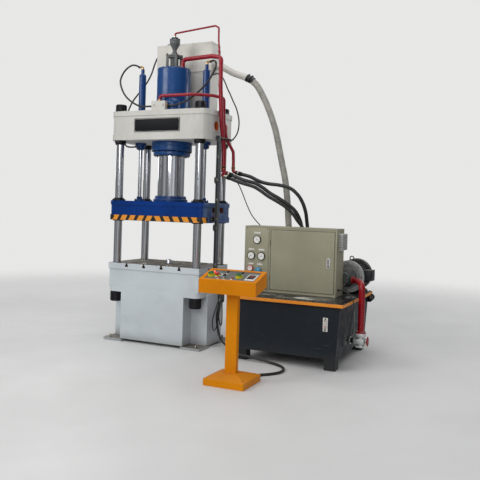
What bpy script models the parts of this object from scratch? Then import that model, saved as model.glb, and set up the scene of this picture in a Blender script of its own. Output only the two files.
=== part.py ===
"""Four-column hydraulic press with its power unit and control pedestal.

Metres, +Z up. The press stands facing -Y, the power unit stands on its +X side
and the control pedestal in front of that. All sizes below are given from the
press's own centre line on the floor; SHIFT moves the finished model so that the
middle of its footprint is the origin.
"""

import math

import bmesh
import bpy
from mathutils import Matrix, Vector

# ----------------------------------------------------------------------------
# Driving dimensions
# ----------------------------------------------------------------------------
SHIFT_X, SHIFT_Y = -0.8925, 0.2918   # footprint centre to origin
GAP = 0.0003                          # gap that touching pieces keep

COL_X, COL_Y, COL_R = 0.540, 0.300, 0.0465   # column centres and radius
COL_Z0, COL_Z1 = 0.464, 2.8175               # lower and upper ends

TABLE_Z = 0.926                              # worktable height
TABLE_X, TABLE_Y = 0.617, 0.370              # half sizes of the table
BAND_Z = 0.855                               # underside of the table plate
SLOT_X = (-0.357, -0.119, 0.119, 0.357)      # T-slot centre lines
SLOT_NECK, SLOT_WIDE = 0.024, 0.042
SLOT_NECK_D, SLOT_DEEP = 0.022, 0.042
FLANGE_Z0, FLANGE_Z1 = 0.585, 0.645          # thick plate over the nut pockets
PANEL_X, SIDE_Y0, SIDE_Y1 = 0.424, -0.170, 0.200   # front panel half, side panel ends

CROWN_Z0, CROWN_Z1 = 2.387, 2.731
CROWN_X, CROWN_Y, CROWN_C = 0.664, 0.368, 0.115   # half sizes, corner radius
LIP = 0.009

PLATEN_Z0, PLATEN_Z1 = 1.437, 1.669
PLATEN_X, PLATEN_Y, PLATEN_C = 0.655, 0.365, 0.090

RAM_R, CYL_R, CYL_TOP = 0.1595, 0.205, 3.270
RING_R, GLAND_R = 0.243, 0.224
RET_X, RET_ROD_R, RET_R = 0.447, 0.023, 0.0435

TANK = (1.130, -0.439, 0.114, 2.229, 0.800, 0.6487)     # oil tank box
LID = (1.060, -0.475, 0.649, 2.305, 0.850, 0.684)
CAB = (1.015, -0.022, 0.6843, 2.095, 0.262, 1.422)
DOOR = (1.3335, -0.0235, 0.7185, 2.0685, -0.0045, 1.3865)
MOTOR_X, MOTOR_Z = 2.094, 0.872

PED_X, PED_Y, PED_H = 1.502, -1.327, 0.2016             # pedestal base centre, half width
CON_X0, CON_X1, CON_Y0, CON_Y1 = 1.215, 1.785, -1.500, -1.245
CON_ZF0, CON_ZF1, CON_ZR0, CON_ZR1 = 0.836, 0.960, 0.900, 1.040


# ----------------------------------------------------------------------------
# Scene and materials
# ----------------------------------------------------------------------------
for old in list(bpy.data.objects):
    bpy.data.objects.remove(old, do_unlink=True)

MATERIALS = {
    "white_paint": ((0.46, 0.52, 0.55), 0.45, 0.0),
    "cream_paint": ((0.58, 0.57, 0.50), 0.45, 0.0),
    "blue_paint": ((0.01, 0.05, 0.24), 0.35, 0.0),
    "bright_blue_paint": ((0.01, 0.08, 0.30), 0.35, 0.0),
    "chrome": ((0.62, 0.63, 0.66), 0.12, 1.0),
    "black_steel": ((0.015, 0.015, 0.018), 0.45, 0.6),
    "bright_steel": ((0.50, 0.50, 0.50), 0.30, 1.0),
    "cast_iron": ((0.16, 0.16, 0.16), 0.55, 0.5),
    "dark_channel": ((0.07, 0.075, 0.08), 0.50, 0.3),
    "red_paint": ((0.38, 0.012, 0.03), 0.35, 0.0),
    "slate_paint": ((0.017, 0.025, 0.033), 0.50, 0.0),
    "orange_paint": ((0.62, 0.24, 0.01), 0.45, 0.0),
    "pedestal_paint": ((0.61, 0.23, 0.004), 0.40, 0.0),
    "khaki_paint": ((0.26, 0.25, 0.18), 0.50, 0.0),
    "motor_paint": ((0.09, 0.09, 0.095), 0.55, 0.1),
    "green_plastic": ((0.03, 0.22, 0.05), 0.35, 0.0),
    "red_plastic": ((0.50, 0.01, 0.01), 0.30, 0.0),
    "black_plastic": ((0.012, 0.012, 0.012), 0.35, 0.0),
    "white_plastic": ((0.70, 0.68, 0.65), 0.35, 0.0),
    "blue_plastic": ((0.02, 0.14, 0.38), 0.35, 0.0),
    "black_rubber": ((0.012, 0.012, 0.013), 0.60, 0.0),
    "grey_rubber": ((0.27, 0.26, 0.24), 0.55, 0.0),
}


def material(name):
    found = bpy.data.materials.get(name)
    if found:
        return found
    colour, rough, metal = MATERIALS[name]
    made = bpy.data.materials.new(name)
    made.use_nodes = True
    shader = made.node_tree.nodes["Principled BSDF"]
    shader.inputs["Base Color"].default_value = (*colour, 1.0)
    shader.inputs["Roughness"].default_value = rough
    shader.inputs["Metallic"].default_value = metal
    return made


def place(name, mesh, mat, pivot=(0.0, 0.0, 0.0)):
    """An object whose origin is at pivot, moved by the footprint shift."""
    mesh.transform(Matrix.Translation(-Vector(pivot)))
    obj = bpy.data.objects.new(name, mesh)
    obj.location = Vector(pivot) + Vector((SHIFT_X, SHIFT_Y, 0.0))
    bpy.context.scene.collection.objects.link(obj)
    mesh.materials.clear()
    mesh.materials.append(material(mat))
    mesh.shade_smooth()
    mesh.set_sharp_from_angle(angle=math.radians(35))
    return obj


# ----------------------------------------------------------------------------
# Shapes
# ----------------------------------------------------------------------------
def finish(bm):
    bmesh.ops.recalc_face_normals(bm, faces=bm.faces)
    mesh = bpy.data.meshes.new("shape")
    bm.to_mesh(mesh)
    bm.free()
    return mesh


def box(x0, y0, z0, x1, y1, z1):
    bm = bmesh.new()
    bmesh.ops.create_cube(bm, size=1.0)
    for v in bm.verts:
        v.co = Vector((
            x0 if v.co.x < 0 else x1,
            y0 if v.co.y < 0 else y1,
            z0 if v.co.z < 0 else z1,
        ))
    return finish(bm)


def turned(profile, seg=24, axis="Z", at=(0.0, 0.0, 0.0), phase=0.0):
    """A turned solid: profile is a closed run of (radius, height) pairs."""
    bm = bmesh.new()
    rings = []
    for r, h in profile:
        if r < 1e-9:
            rings.append([bm.verts.new((0.0, 0.0, h))])
        else:
            rings.append([
                bm.verts.new((r * math.cos(2 * math.pi * (i + phase) / seg),
                              r * math.sin(2 * math.pi * (i + phase) / seg), h))
                for i in range(seg)
            ])
    for a, b in zip(rings, rings[1:] + rings[:1]):
        if len(a) == 1 and len(b) == 1:
            continue
        for i in range(seg):
            j = (i + 1) % seg
            loop = []
            for ring, order in ((a, (i, j)), (b, (j, i))):
                loop += [ring[0]] if len(ring) == 1 else [ring[order[0]], ring[order[1]]]
            bm.faces.new(loop)
    mesh = finish(bm)
    if axis == "X":
        mesh.transform(Matrix.Rotation(math.pi / 2, 4, "Y"))
    elif axis == "Y":
        mesh.transform(Matrix.Rotation(-math.pi / 2, 4, "X"))
    mesh.transform(Matrix.Translation(Vector(at)))
    return mesh


def rod(r, z0, z1, seg=24, axis="Z", at=(0.0, 0.0, 0.0), chamfer=0.0):
    if chamfer:
        return turned([(0, z0), (r - chamfer, z0), (r, z0 + chamfer), (r, z1 - chamfer),
                       (r - chamfer, z1), (0, z1)], seg, axis, at)
    return turned([(0, z0), (r, z0), (r, z1), (0, z1)], seg, axis, at)


def ring(r_in, r_out, z0, z1, seg=24, axis="Z", at=(0.0, 0.0, 0.0), chamfer=0.0):
    if chamfer:
        return turned([(r_in, z0), (r_out - chamfer, z0), (r_out, z0 + chamfer), (r_out, z1 - chamfer),
                       (r_out - chamfer, z1), (r_in, z1)], seg, axis, at)
    return turned([(r_in, z0), (r_out, z0), (r_out, z1), (r_in, z1)], seg, axis, at)


def prism(points, lo, hi, axis="Z"):
    """An outline extruded along an axis. Points are (x, y), (y, z) for X or (x, z) for Y."""
    bm = bmesh.new()
    def vert(p, h):
        if axis == "Z":
            return bm.verts.new((p[0], p[1], h))
        if axis == "X":
            return bm.verts.new((h, p[0], p[1]))
        return bm.verts.new((p[0], h, p[1]))
    low = [vert(p, lo) for p in points]
    high = [vert(p, hi) for p in points]
    bm.faces.new(low)
    bm.faces.new(high)
    n = len(points)
    for i in range(n):
        j = (i + 1) % n
        bm.faces.new((low[i], low[j], high[j], high[i]))
    return finish(bm)


def rounded(x0, y0, x1, y1, r, n=4):
    """Corner points of a rounded rectangle."""
    out = []
    for cx, cy, a0 in ((x1 - r, y1 - r, 0), (x0 + r, y1 - r, 90), (x0 + r, y0 + r, 180), (x1 - r, y0 + r, 270)):
        for k in range(n + 1):
            a = math.radians(a0 + 90 * k / n)
            out.append((cx + r * math.cos(a), cy + r * math.sin(a)))
    return out


def join(base, *steps):
    """Boolean steps ('+' or '-', mesh) applied to the base mesh, in order."""
    obj = bpy.data.objects.new("base", base)
    bpy.context.scene.collection.objects.link(obj)
    helpers = []
    for sign, mesh in steps:
        other = bpy.data.objects.new("tool", mesh)
        bpy.context.scene.collection.objects.link(other)
        helpers.append(other)
        mod = obj.modifiers.new("cut", "BOOLEAN")
        mod.operation = "UNION" if sign == "+" else "DIFFERENCE"
        mod.solver = "EXACT"
        mod.object = other
    bpy.context.view_layer.update()
    graph = bpy.context.evaluated_depsgraph_get()
    mesh = bpy.data.meshes.new_from_object(obj.evaluated_get(graph))
    for other in helpers + [obj]:
        bpy.data.objects.remove(other, do_unlink=True)
    return mesh


def smooth_path(points, step):
    """Even points along a Catmull-Rom curve through the given points."""
    pts = [Vector(p) for p in points]
    ext = [2 * pts[0] - pts[1]] + pts + [2 * pts[-1] - pts[-2]]
    dense = []
    for i in range(1, len(ext) - 2):
        p0, p1, p2, p3 = ext[i - 1:i + 3]
        for k in range(24):
            t = k / 24
            dense.append(0.5 * ((2 * p1) + (p2 - p0) * t + (2 * p0 - 5 * p1 + 4 * p2 - p3) * t * t
                                + (3 * p1 - p0 - 3 * p2 + p3) * t ** 3))
    dense.append(pts[-1])
    total = sum((b - a).length for a, b in zip(dense, dense[1:]))
    count = min(75, max(6, int(round(total / step))))
    out, run, want = [dense[0]], 0.0, total / count
    for a, b in zip(dense, dense[1:]):
        seg = (b - a).length
        while seg > 0 and run + seg >= want * len(out) - 1e-9 and len(out) < count:
            out.append(a.lerp(b, (want * len(out) - run) / seg))
        run += seg
    out.append(dense[-1])
    return out


def bent(points, radius):
    """Straight runs joined by arcs of the given radius: a bent pipe's centre line."""
    pts = [Vector(p) for p in points]
    out = [pts[0]]
    for a, b, c in zip(pts, pts[1:], pts[2:]):
        u, v = (a - b).normalized(), (c - b).normalized()
        ang = u.angle(v)
        if math.pi - ang < 0.05:
            out.append(b)
            continue
        cut = min(radius / math.tan(ang / 2), 0.45 * (a - b).length, 0.45 * (c - b).length)
        r = cut * math.tan(ang / 2)
        centre = b + (u + v).normalized() * (r / math.sin(ang / 2))
        s, e = b + u * cut - centre, b + v * cut - centre
        turn = s.angle(e)
        axis = s.cross(e).normalized()
        n = max(3, int(math.degrees(turn) / 18))
        for k in range(n + 1):
            out.append(centre + Matrix.Rotation(turn * k / n, 3, axis) @ s)
    out.append(pts[-1])
    return out


def tube(name, points, r, mat, res=2, hollow=False):
    """A pipe or hose: a curve with a round bevel and closed ends."""
    data = bpy.data.curves.new(name, "CURVE")
    data.dimensions = "3D"
    data.bevel_depth = r
    data.bevel_resolution = res
    data.use_fill_caps = True
    line = data.splines.new("POLY")
    line.points.add(len(points) - 1)
    for p, q in zip(line.points, points):
        p.co = (q[0], q[1], q[2], 1.0)
    obj = bpy.data.objects.new(name, data)
    obj.location = (SHIFT_X, SHIFT_Y, 0.0)
    bpy.context.scene.collection.objects.link(obj)
    data.materials.append(material(mat))
    return obj


# ----------------------------------------------------------------------------
# Bed: welded box with a T-slotted worktable and a nut pocket at each corner
# ----------------------------------------------------------------------------
def make_bed():
    # Upper box with a rounded flange plate below it.
    shape = box(-0.606, -0.358, FLANGE_Z1 - 0.002, 0.606, 0.358, BAND_Z + 0.002)
    steps = [("+", prism(rounded(-TABLE_X, -TABLE_Y, TABLE_X, TABLE_Y, 0.006, 2), BAND_Z, TABLE_Z))]
    steps += [("+", prism(rounded(-0.619, -0.368, 0.619, 0.368, 0.072, 5), FLANGE_Z0, FLANGE_Z1))]
    # Front and back panels, and the narrower side panels between the pockets.
    steps += [("+", box(-PANEL_X, -TABLE_Y, 0.033, PANEL_X, TABLE_Y, FLANGE_Z0 + 0.03))]
    steps += [("+", box(-0.632, SIDE_Y0, 0.020, 0.632, SIDE_Y1, FLANGE_Z0 + 0.02))]
    # Foot plates at the corners.
    for sx in (-1, 1):
        for sy in (-1, 1):
            x0, x1 = sorted((sx * 0.402, sx * 0.652))
            y0, y1 = sorted((sy * 0.380, sy * 0.150))
            steps.append(("+", box(x0, y0, 0.0, x1, y1, 0.028)))
    # Well for the ejector's cylinder.
    steps += [("-", rod(0.110, 0.394, 0.800, 16))]
    # Column holes.
    for sx in (-1, 1):
        for sy in (-1, 1):
            steps.append(("-", rod(COL_R + GAP, 0.5, 1.0, 20, at=(sx * COL_X, sy * COL_Y, 0))))
    # T-slots, along Y.
    for x in SLOT_X:
        n, w = SLOT_NECK / 2, SLOT_WIDE / 2
        z0, z1, z2 = TABLE_Z - SLOT_DEEP, TABLE_Z - SLOT_NECK_D, TABLE_Z + 0.02
        steps.append(("-", prism([(x - w, z0), (x + w, z0), (x + w, z1), (x + n, z1), (x + n, z2),
                                  (x - n, z2), (x - n, z1), (x - w, z1)], -0.5, 0.5, "Y")))
    # Ejector hole.
    steps.append(("-", rod(0.0368, 0.5, 1.0, 16)))
    place("bed", join(shape, *steps), "white_paint")


# ----------------------------------------------------------------------------
# Columns, with the collar turned on under the crown, and their nuts
# ----------------------------------------------------------------------------
def make_columns():
    r = COL_R
    for sx, xn in ((-1, "left"), (1, "right")):
        for sy, yn in ((-1, "front"), (1, "rear")):
            at = (sx * COL_X, sy * COL_Y, 0.0)
            profile = [
                (0, COL_Z0), (0.0675, COL_Z0), (0.0715, COL_Z0 + 0.004), (0.0715, 0.5845), (r, 0.5845),
                (r, 2.332), (0.066, 2.336), (0.066, CROWN_Z0 - GAP), (r, CROWN_Z0 - GAP),
                (r, COL_Z1), (0, COL_Z1),
            ]
            place(f"column_{yn}_{xn}", turned(profile, 20, at=at), "chrome", at)
            place(f"crown_nut_{yn}_{xn}",
                  turned([(r + GAP, CROWN_Z1 + GAP), (0.066, CROWN_Z1 + GAP), (0.066, 2.812), (0.062, 2.816),
                          (r + GAP, 2.816)], 20, at=at), "black_steel", at)


# ----------------------------------------------------------------------------
# Crown
# ----------------------------------------------------------------------------
def make_crown():
    body = prism(rounded(-CROWN_X + LIP, -CROWN_Y + LIP, CROWN_X - LIP, CROWN_Y - LIP, CROWN_C - LIP, 6),
                 CROWN_Z0 + 0.01, CROWN_Z1 - 0.01)
    steps = [
        ("+", prism(rounded(-CROWN_X, -CROWN_Y, CROWN_X, CROWN_Y, CROWN_C, 6), CROWN_Z0, CROWN_Z0 + 0.066)),
        ("+", prism(rounded(-CROWN_X, -CROWN_Y, CROWN_X, CROWN_Y, CROWN_C, 6), CROWN_Z1 - 0.060, CROWN_Z1)),
        ("-", rod(CYL_R + GAP, 2.2, 3.0, 28)),
    ]
    for sx in (-1, 1):
        steps.append(("-", rod(RET_R + GAP, 2.2, 3.0, 16, at=(sx * RET_X, 0, 0))))
        for sy in (-1, 1):
            steps.append(("-", rod(COL_R + GAP, 2.2, 3.0, 20, at=(sx * COL_X, sy * COL_Y, 0))))
            # Round access hole in each end plate.
            steps.append(("-", rod(0.055, 0.530, 0.8, 16, "X", (0, sy * 0.121, 2.557)) if sx > 0
                          else rod(0.055, -0.8, -0.530, 16, "X", (0, sy * 0.121, 2.557))))
    place("crown", join(body, *steps), "cream_paint")


# ----------------------------------------------------------------------------
# Main cylinder, gland, ram; return cylinders; prefill valve and tank
# ----------------------------------------------------------------------------
def make_cylinders():
    bore = 0.1603
    # Barrel with a shoulder ring under the crown, bored from below.
    barrel = turned([
        (bore, 2.2757), (RING_R, 2.2757), (RING_R, CROWN_Z0 - GAP), (CYL_R, CROWN_Z0 - GAP),
        (CYL_R, CYL_TOP - 0.008), (CYL_R - 0.008, CYL_TOP), (0, CYL_TOP), (0, 3.216), (bore, 3.216),
    ], 28)
    # Oil port boss low on the front.
    boss = turned([(0, CROWN_Z1 + GAP), (0.088, CROWN_Z1 + GAP), (0.088, 2.850), (0.070, 2.885), (0.035, 2.900),
                   (0, 2.903)], 20, at=(0.085, -0.1475, 0))
    keep_out = rod(bore + 0.01, 2.2, 3.2, 28)
    place("main_cylinder", join(barrel, ("+", join(boss, ("-", keep_out)))), "bright_blue_paint")
    place("gland_flange", ring(bore, GLAND_R, 2.222, 2.2754, 28, chamfer=0.004), "bright_blue_paint")

    place("main_ram", turned([(0, PLATEN_Z1 + GAP), (RAM_R, PLATEN_Z1 + GAP), (RAM_R, 2.744), (RAM_R - 0.006, 2.750),
                              (0, 2.750)], 28), "chrome")
    place("ram_flange", turned([
        (RAM_R + GAP, PLATEN_Z1 + GAP), (0.206, PLATEN_Z1 + GAP), (0.206, 1.700), (0.190, 1.706), (0.190, 1.730),
        (0.183, 1.737), (RAM_R + GAP, 1.737)], 28), "blue_paint")

    for sx, side in ((-1, "left"), (1, "right")):
        at = (sx * RET_X, 0.0, 0.0)
        # Slim barrel through the crown with a flange under it and a base ring on it.
        place(f"return_cylinder_{side}", turned([
            (RET_ROD_R + GAP, 2.307), (0.050, 2.307), (0.050, CROWN_Z0 - GAP), (RET_R, CROWN_Z0 - GAP),
            (RET_R, CROWN_Z1 + GAP), (0.056, CROWN_Z1 + GAP), (0.056, 2.790), (RET_R, 2.790),
            (RET_R, 3.228), (0.036, 3.238), (0.030, 3.238), (0.030, 3.352), (0, 3.352),
            (0, 3.205), (RET_ROD_R + GAP, 3.205)], 16, at=at), "bright_blue_paint", at)
        place(f"return_rod_{side}", turned([
            (0, PLATEN_Z1 + GAP), (0.057, PLATEN_Z1 + GAP), (0.057, 1.700), (0.036, 1.702), (0.036, 1.728),
            (RET_ROD_R, 1.728), (RET_ROD_R, 2.745), (0, 2.745)], 16, at=at), "chrome", at)

    # Prefill valve: square lantern with a window in each face, neck, bowl and cap.
    h = 0.072
    lantern = box(-h, -h, CYL_TOP + GAP, h, h, 3.441)
    upper = turned([
        (0, 3.430), (0.046, 3.430), (0.046, 3.456), (0.036, 3.462), (0.026, 3.480), (0.026, 3.512), (0.044, 3.548),
        (0.060, 3.572), (0.063, 3.580), (0.063, 3.624), (0.050, 3.628), (0.050, 3.656), (0.045, 3.6620), (0, 3.6620)], 16)
    steps = [("+", box(-0.078, -0.078, CYL_TOP + GAP, 0.078, 0.078, 3.288)),
             ("+", box(-0.078, -0.078, 3.4245, 0.078, 0.078, 3.441)), ("+", upper)]
    for k in range(4):
        w = box(0.034, -0.050, 3.302, 0.2, 0.050, 3.412)
        w.transform(Matrix.Rotation(math.radians(90 * k), 4, "Z"))
        steps.append(("-", w))
    place("prefill_valve", join(lantern, *steps), "cast_iron")

    # Prefill tank: an upper box that laps over a slightly smaller lower one.
    lower = box(-0.376, 0.243, CROWN_Z1 + GAP, 0.376, 0.443, 3.292)
    upper = box(-0.390, 0.229, 3.285, 0.390, 0.457, 3.642)
    place("prefill_tank", join(upper, ("+", lower)), "cream_paint")

    # Manifold block on the crown's front edge.
    place("manifold_block", box(-0.117, -0.303, CROWN_Z1 + GAP, 0.066, -0.2365, 2.846), "cream_paint")


# ----------------------------------------------------------------------------
# Rigid pipes on the press's right side
# ----------------------------------------------------------------------------
def make_pipes():
    tube("pipe_pilot", bent([(0.0, 0.0, 3.6623), (0.0, 0.0, 3.708), (0.60, -0.115, 3.715), (0.650, -0.120, 3.690),
                             (0.652, -0.120, 3.540), (0.668, -0.120, 3.3820)], 0.030), 0.011, "red_paint", 2)
    tube("pipe_pressure", bent([(0.137, -0.030, CYL_TOP + GAP), (0.137, -0.030, 3.376), (0.56, -0.094, 3.374),
                                (0.690, -0.118, 3.345), (0.690, -0.117, 3.026), (0.702, -0.090, 2.628),
                                (0.716, -0.033, 2.300), (0.716, -0.030, 2.160)], 0.055)
         + bent([(0.716, -0.030, 2.160), (0.716, -0.030, 2.030), (0.7590, -0.0093, 2.0160)], 0.031)[1:],
         0.0255, "red_paint", 2)
    tube("pipe_return", bent([(-0.030, -0.258, 2.8463), (-0.030, -0.258, 2.912), (0.40, -0.250, 2.912),
                              (0.590, -0.115, 2.912), (0.700, -0.035, 2.890), (0.702, -0.022, 2.62),
                              (0.728, 0.006, 2.42), (0.787, 0.074, 2.275), (0.790, 0.080, 2.160)], 0.040)
         + bent([(0.790, 0.080, 2.160), (0.790, 0.080, 2.045), (0.8302, 0.0952, 2.0320)], 0.025)[1:],
         0.0185, "red_paint", 2)


# ----------------------------------------------------------------------------
# Limit-switch rail, ejector
# ----------------------------------------------------------------------------
def make_rail_and_ejector():
    # Rail: a channel fixed to the table's edge and to the crown by short arms.
    post = box(0.680, -0.155, 0.880, 0.718, -0.109, 2.444)
    groove = box(0.687, -0.175, 0.920, 0.711, -0.129, 2.432)
    arm_top = box(0.6643, -0.150, 2.397, 0.684, -0.116, 2.440)
    arm_low = box(0.6173, -0.150, 0.884, 0.684, -0.116, 0.912)
    place("switch_rail", join(post, ("+", arm_top), ("+", arm_low), ("-", groove)), "dark_channel")
    place("ejector_cylinder", turned([
        (0.0362, 0.400), (0.074, 0.400), (0.074, 0.7697), (0.095, 0.7697), (0.095, 0.7997), (0.0362, 0.7997)], 16),
        "bright_blue_paint")
    place("ejector_rod", turned([(0, 0.560), (0.0357, 0.560), (0.0357, 0.969), (0.0317, 0.973), (0, 0.973)], 16),
          "chrome", (0, 0, 0.973))


# ----------------------------------------------------------------------------
# Moving platen
# ----------------------------------------------------------------------------
def make_platen():
    body = prism(rounded(-PLATEN_X + LIP, -PLATEN_Y + LIP, PLATEN_X - LIP, PLATEN_Y - LIP, PLATEN_C - LIP, 6),
                 PLATEN_Z0 + 0.01, PLATEN_Z1 - 0.01)
    steps = [
        ("+", prism(rounded(-PLATEN_X, -PLATEN_Y, PLATEN_X, PLATEN_Y, PLATEN_C, 6), PLATEN_Z0, PLATEN_Z0 + 0.066)),
        ("+", prism(rounded(-PLATEN_X, -PLATEN_Y, PLATEN_X, PLATEN_Y, PLATEN_C, 6), PLATEN_Z1 - 0.050, PLATEN_Z1)),
    ]
    for sx in (-1, 1):
        for sy in (-1, 1):
            steps.append(("-", rod(COL_R + 0.0004, 1.0, 2.0, 20, at=(sx * COL_X, sy * COL_Y, 0))))
            # Obround access holes in each end.
            x0, x1 = sorted((sx * 0.540, sx * 0.8))
            steps.append(("-", prism(rounded(sy * 0.097 - 0.052, 1.550, sy * 0.097 + 0.052, 1.616, 0.0325, 3),
                                     x0, x1, "X")))
    place("platen", join(body, *steps), "blue_paint")


# ----------------------------------------------------------------------------
# Power unit
# ----------------------------------------------------------------------------
def make_power_unit():
    x0, y0, z0, x1, y1, z1 = TANK
    tank = box(x0, y0, z0, x1, y1, z1)
    # The ends lean in a little toward the floor.
    for v in tank.vertices:
        if v.co.z > z0 + 0.1:
            v.co.x += 0.033 if v.co.x > x0 + 0.1 else -0.006
    steps = []
    w, t = 0.120, 0.120
    for lx, ly in ((x0, y0), (x1 - w, y0), (x0, y1 - t), (x1 - w, y1 - t)):
        steps.append(("+", box(lx, ly, 0.0, lx + w, ly + t, z0 + 0.006)))
    place("oil_tank", join(tank, *steps), "slate_paint")
    # Lid, which laps over the tank all round.
    lid = prism(rounded(LID[0], LID[1], LID[3], LID[4], 0.020, 2), LID[2], LID[5])
    place("tank_lid", lid, "orange_paint")

    x0, y0, z0, x1, y1, z1 = CAB
    cab = box(x0, y0, z0, x1, y1, z1)
    place("cabinet", join(
        cab,
        ("-", box(x0 + 0.012, y0 + 0.020, z0 + 0.012, x1 - 0.012, y1 - 0.012, z1 - 0.012)),
        ("-", box(DOOR[0] - 0.0015, y0 - 0.1, DOOR[2] - 0.0015, DOOR[3] + 0.0015, y0 + 0.05, DOOR[5] + 0.0015)),
    ), "khaki_paint")
    hinge = (DOOR[0], DOOR[1], 0.0)
    place("cabinet_door", box(*DOOR), "khaki_paint", hinge)
    lock = prism(rounded(2.005 - 0.021, 1.047 - 0.058, 2.005 + 0.021, 1.047 + 0.058, 0.020, 3),
                 -0.0318, DOOR[1] - GAP, "Y")
    place("door_lock", lock, "bright_steel", (2.005, -0.0238, 1.047))

    # Motor: feet, finned frame, end bell and terminal box, axis along Y.
    m = (MOTOR_X, 0.0, MOTOR_Z)
    motor = turned([(0, 0.462), (0.120, 0.462), (0.130, 0.470), (0.148, 0.490), (0.178, 0.500), (0.186, 0.505),
                    (0.186, 0.870), (0.178, 0.876), (0.178, 0.930), (0.150, 0.945), (0, 0.945)], 20, "Y", m)
    place("motor", join(
        motor,
        ("+", box(MOTOR_X - 0.150, 0.560, LID[5] + GAP, MOTOR_X - 0.090, 0.840, 0.800)),
        ("+", box(MOTOR_X + 0.090, 0.560, LID[5] + GAP, MOTOR_X + 0.150, 0.840, 0.800)),
        ("+", box(MOTOR_X + 0.150, 0.580, 0.826, MOTOR_X + 0.272, 0.720, 0.950)),
    ), "motor_paint")
    # Pump with its coupling housing.
    place("pump", turned([(0, 0.275), (0.060, 0.275), (0.066, 0.281), (0.066, 0.290), (0.082, 0.294), (0.082, 0.386),
                          (0.100, 0.390), (0.112, 0.402), (0.112, 0.4617), (0, 0.4617)], 20, "Y", m), "cast_iron")
    # Valve block behind the cabinet.
    place("valve_block", join(
        box(1.480, 0.330, LID[5] + GAP, 1.860, 0.480, 0.860),
        ("+", box(1.510, 0.345, 0.850, 1.580, 0.465, 0.960)),
        ("+", box(1.630, 0.345, 0.850, 1.700, 0.465, 0.990)),
        ("+", box(1.760, 0.345, 0.850, 1.830, 0.465, 0.960)),
    ), "cast_iron")
    # Suction pipe: from the pump's inlet, over and down to the stop valve.
    line = bent([(MOTOR_X + 0.0825, 0.338, 0.8505), (2.215, 0.338, 0.8505), (2.362, 0.056, 0.8505), (2.362, 0.056, 0.322)],
                0.075)
    tube("suction_pipe", line, 0.0345, "red_paint", 3)
    valve = (2.362, 0.056, 0.0)
    place("stop_valve", join(
        turned([(0, 0.170), (0.020, 0.170), (0.024, 0.190), (0.052, 0.196), (0.055, 0.202), (0.055, 0.272),
                (0.040, 0.282), (0.052, 0.286), (0.052, 0.3217), (0, 0.3217)], 16, at=valve),
        ("+", box(2.288, 0.007, 0.2065, 2.409, 0.105, 0.2675)),
        ("+", rod(0.028, 2.2390, 2.34, 12, "X", (0, 0.056, 0.240))),
        ("+", rod(0.018, 2.38, 2.4287, 12, "X", (0, 0.056, 0.240))),
    ), "bright_steel")
    place("valve_handle", join(
        rod(0.042, 2.429, 2.449, 16, "X", (0, 0.056, 0.240)),
        ("+", box(2.434, 0.044, 0.188, 2.446, 0.068, 0.292)),
    ), "red_paint", (2.429, 0.056, 0.240))


# ----------------------------------------------------------------------------
# Control pedestal
# ----------------------------------------------------------------------------
PALMS = ((1.290, -1.392, 0.024), (1.574, -1.392, 0.024))      # x, y, stem radius
ESTOP = (1.348, -1.384, 0.012)
PUSHES = ((1.386, -1.362, 0.011), (1.386, -1.436, 0.011), (1.449, -1.433, 0.011), (1.519, -1.427, 0.011))
SELECTORS = ((1.424, -1.310), (1.427, -1.388), (1.574, -1.314))
WELLS = PALMS + (ESTOP,) + PUSHES
SLOPE = math.atan2(CON_ZR1 - CON_ZF1, CON_Y1 - CON_Y0)


def on_console(x, y):
    """The point of the control panel's face above (x, y), and the panel's rotation."""
    z = CON_ZF1 + (y - CON_Y0) * math.tan(SLOPE) - 0.005 / math.cos(SLOPE)
    return Vector((x, y, z))


def panel_piece(name, x, y, profile, mat, seg=16, extra=None):
    """A turned control piece that stands square on the sloping panel."""
    mesh = turned([(r, h + GAP) for r, h in profile], seg)
    if extra is not None:
        mesh = join(mesh, ("+", extra))
    where = on_console(x, y)
    mesh.transform(Matrix.Translation(where) @ Matrix.Rotation(SLOPE, 4, "X"))
    return place(name, mesh, mat, where)


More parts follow.
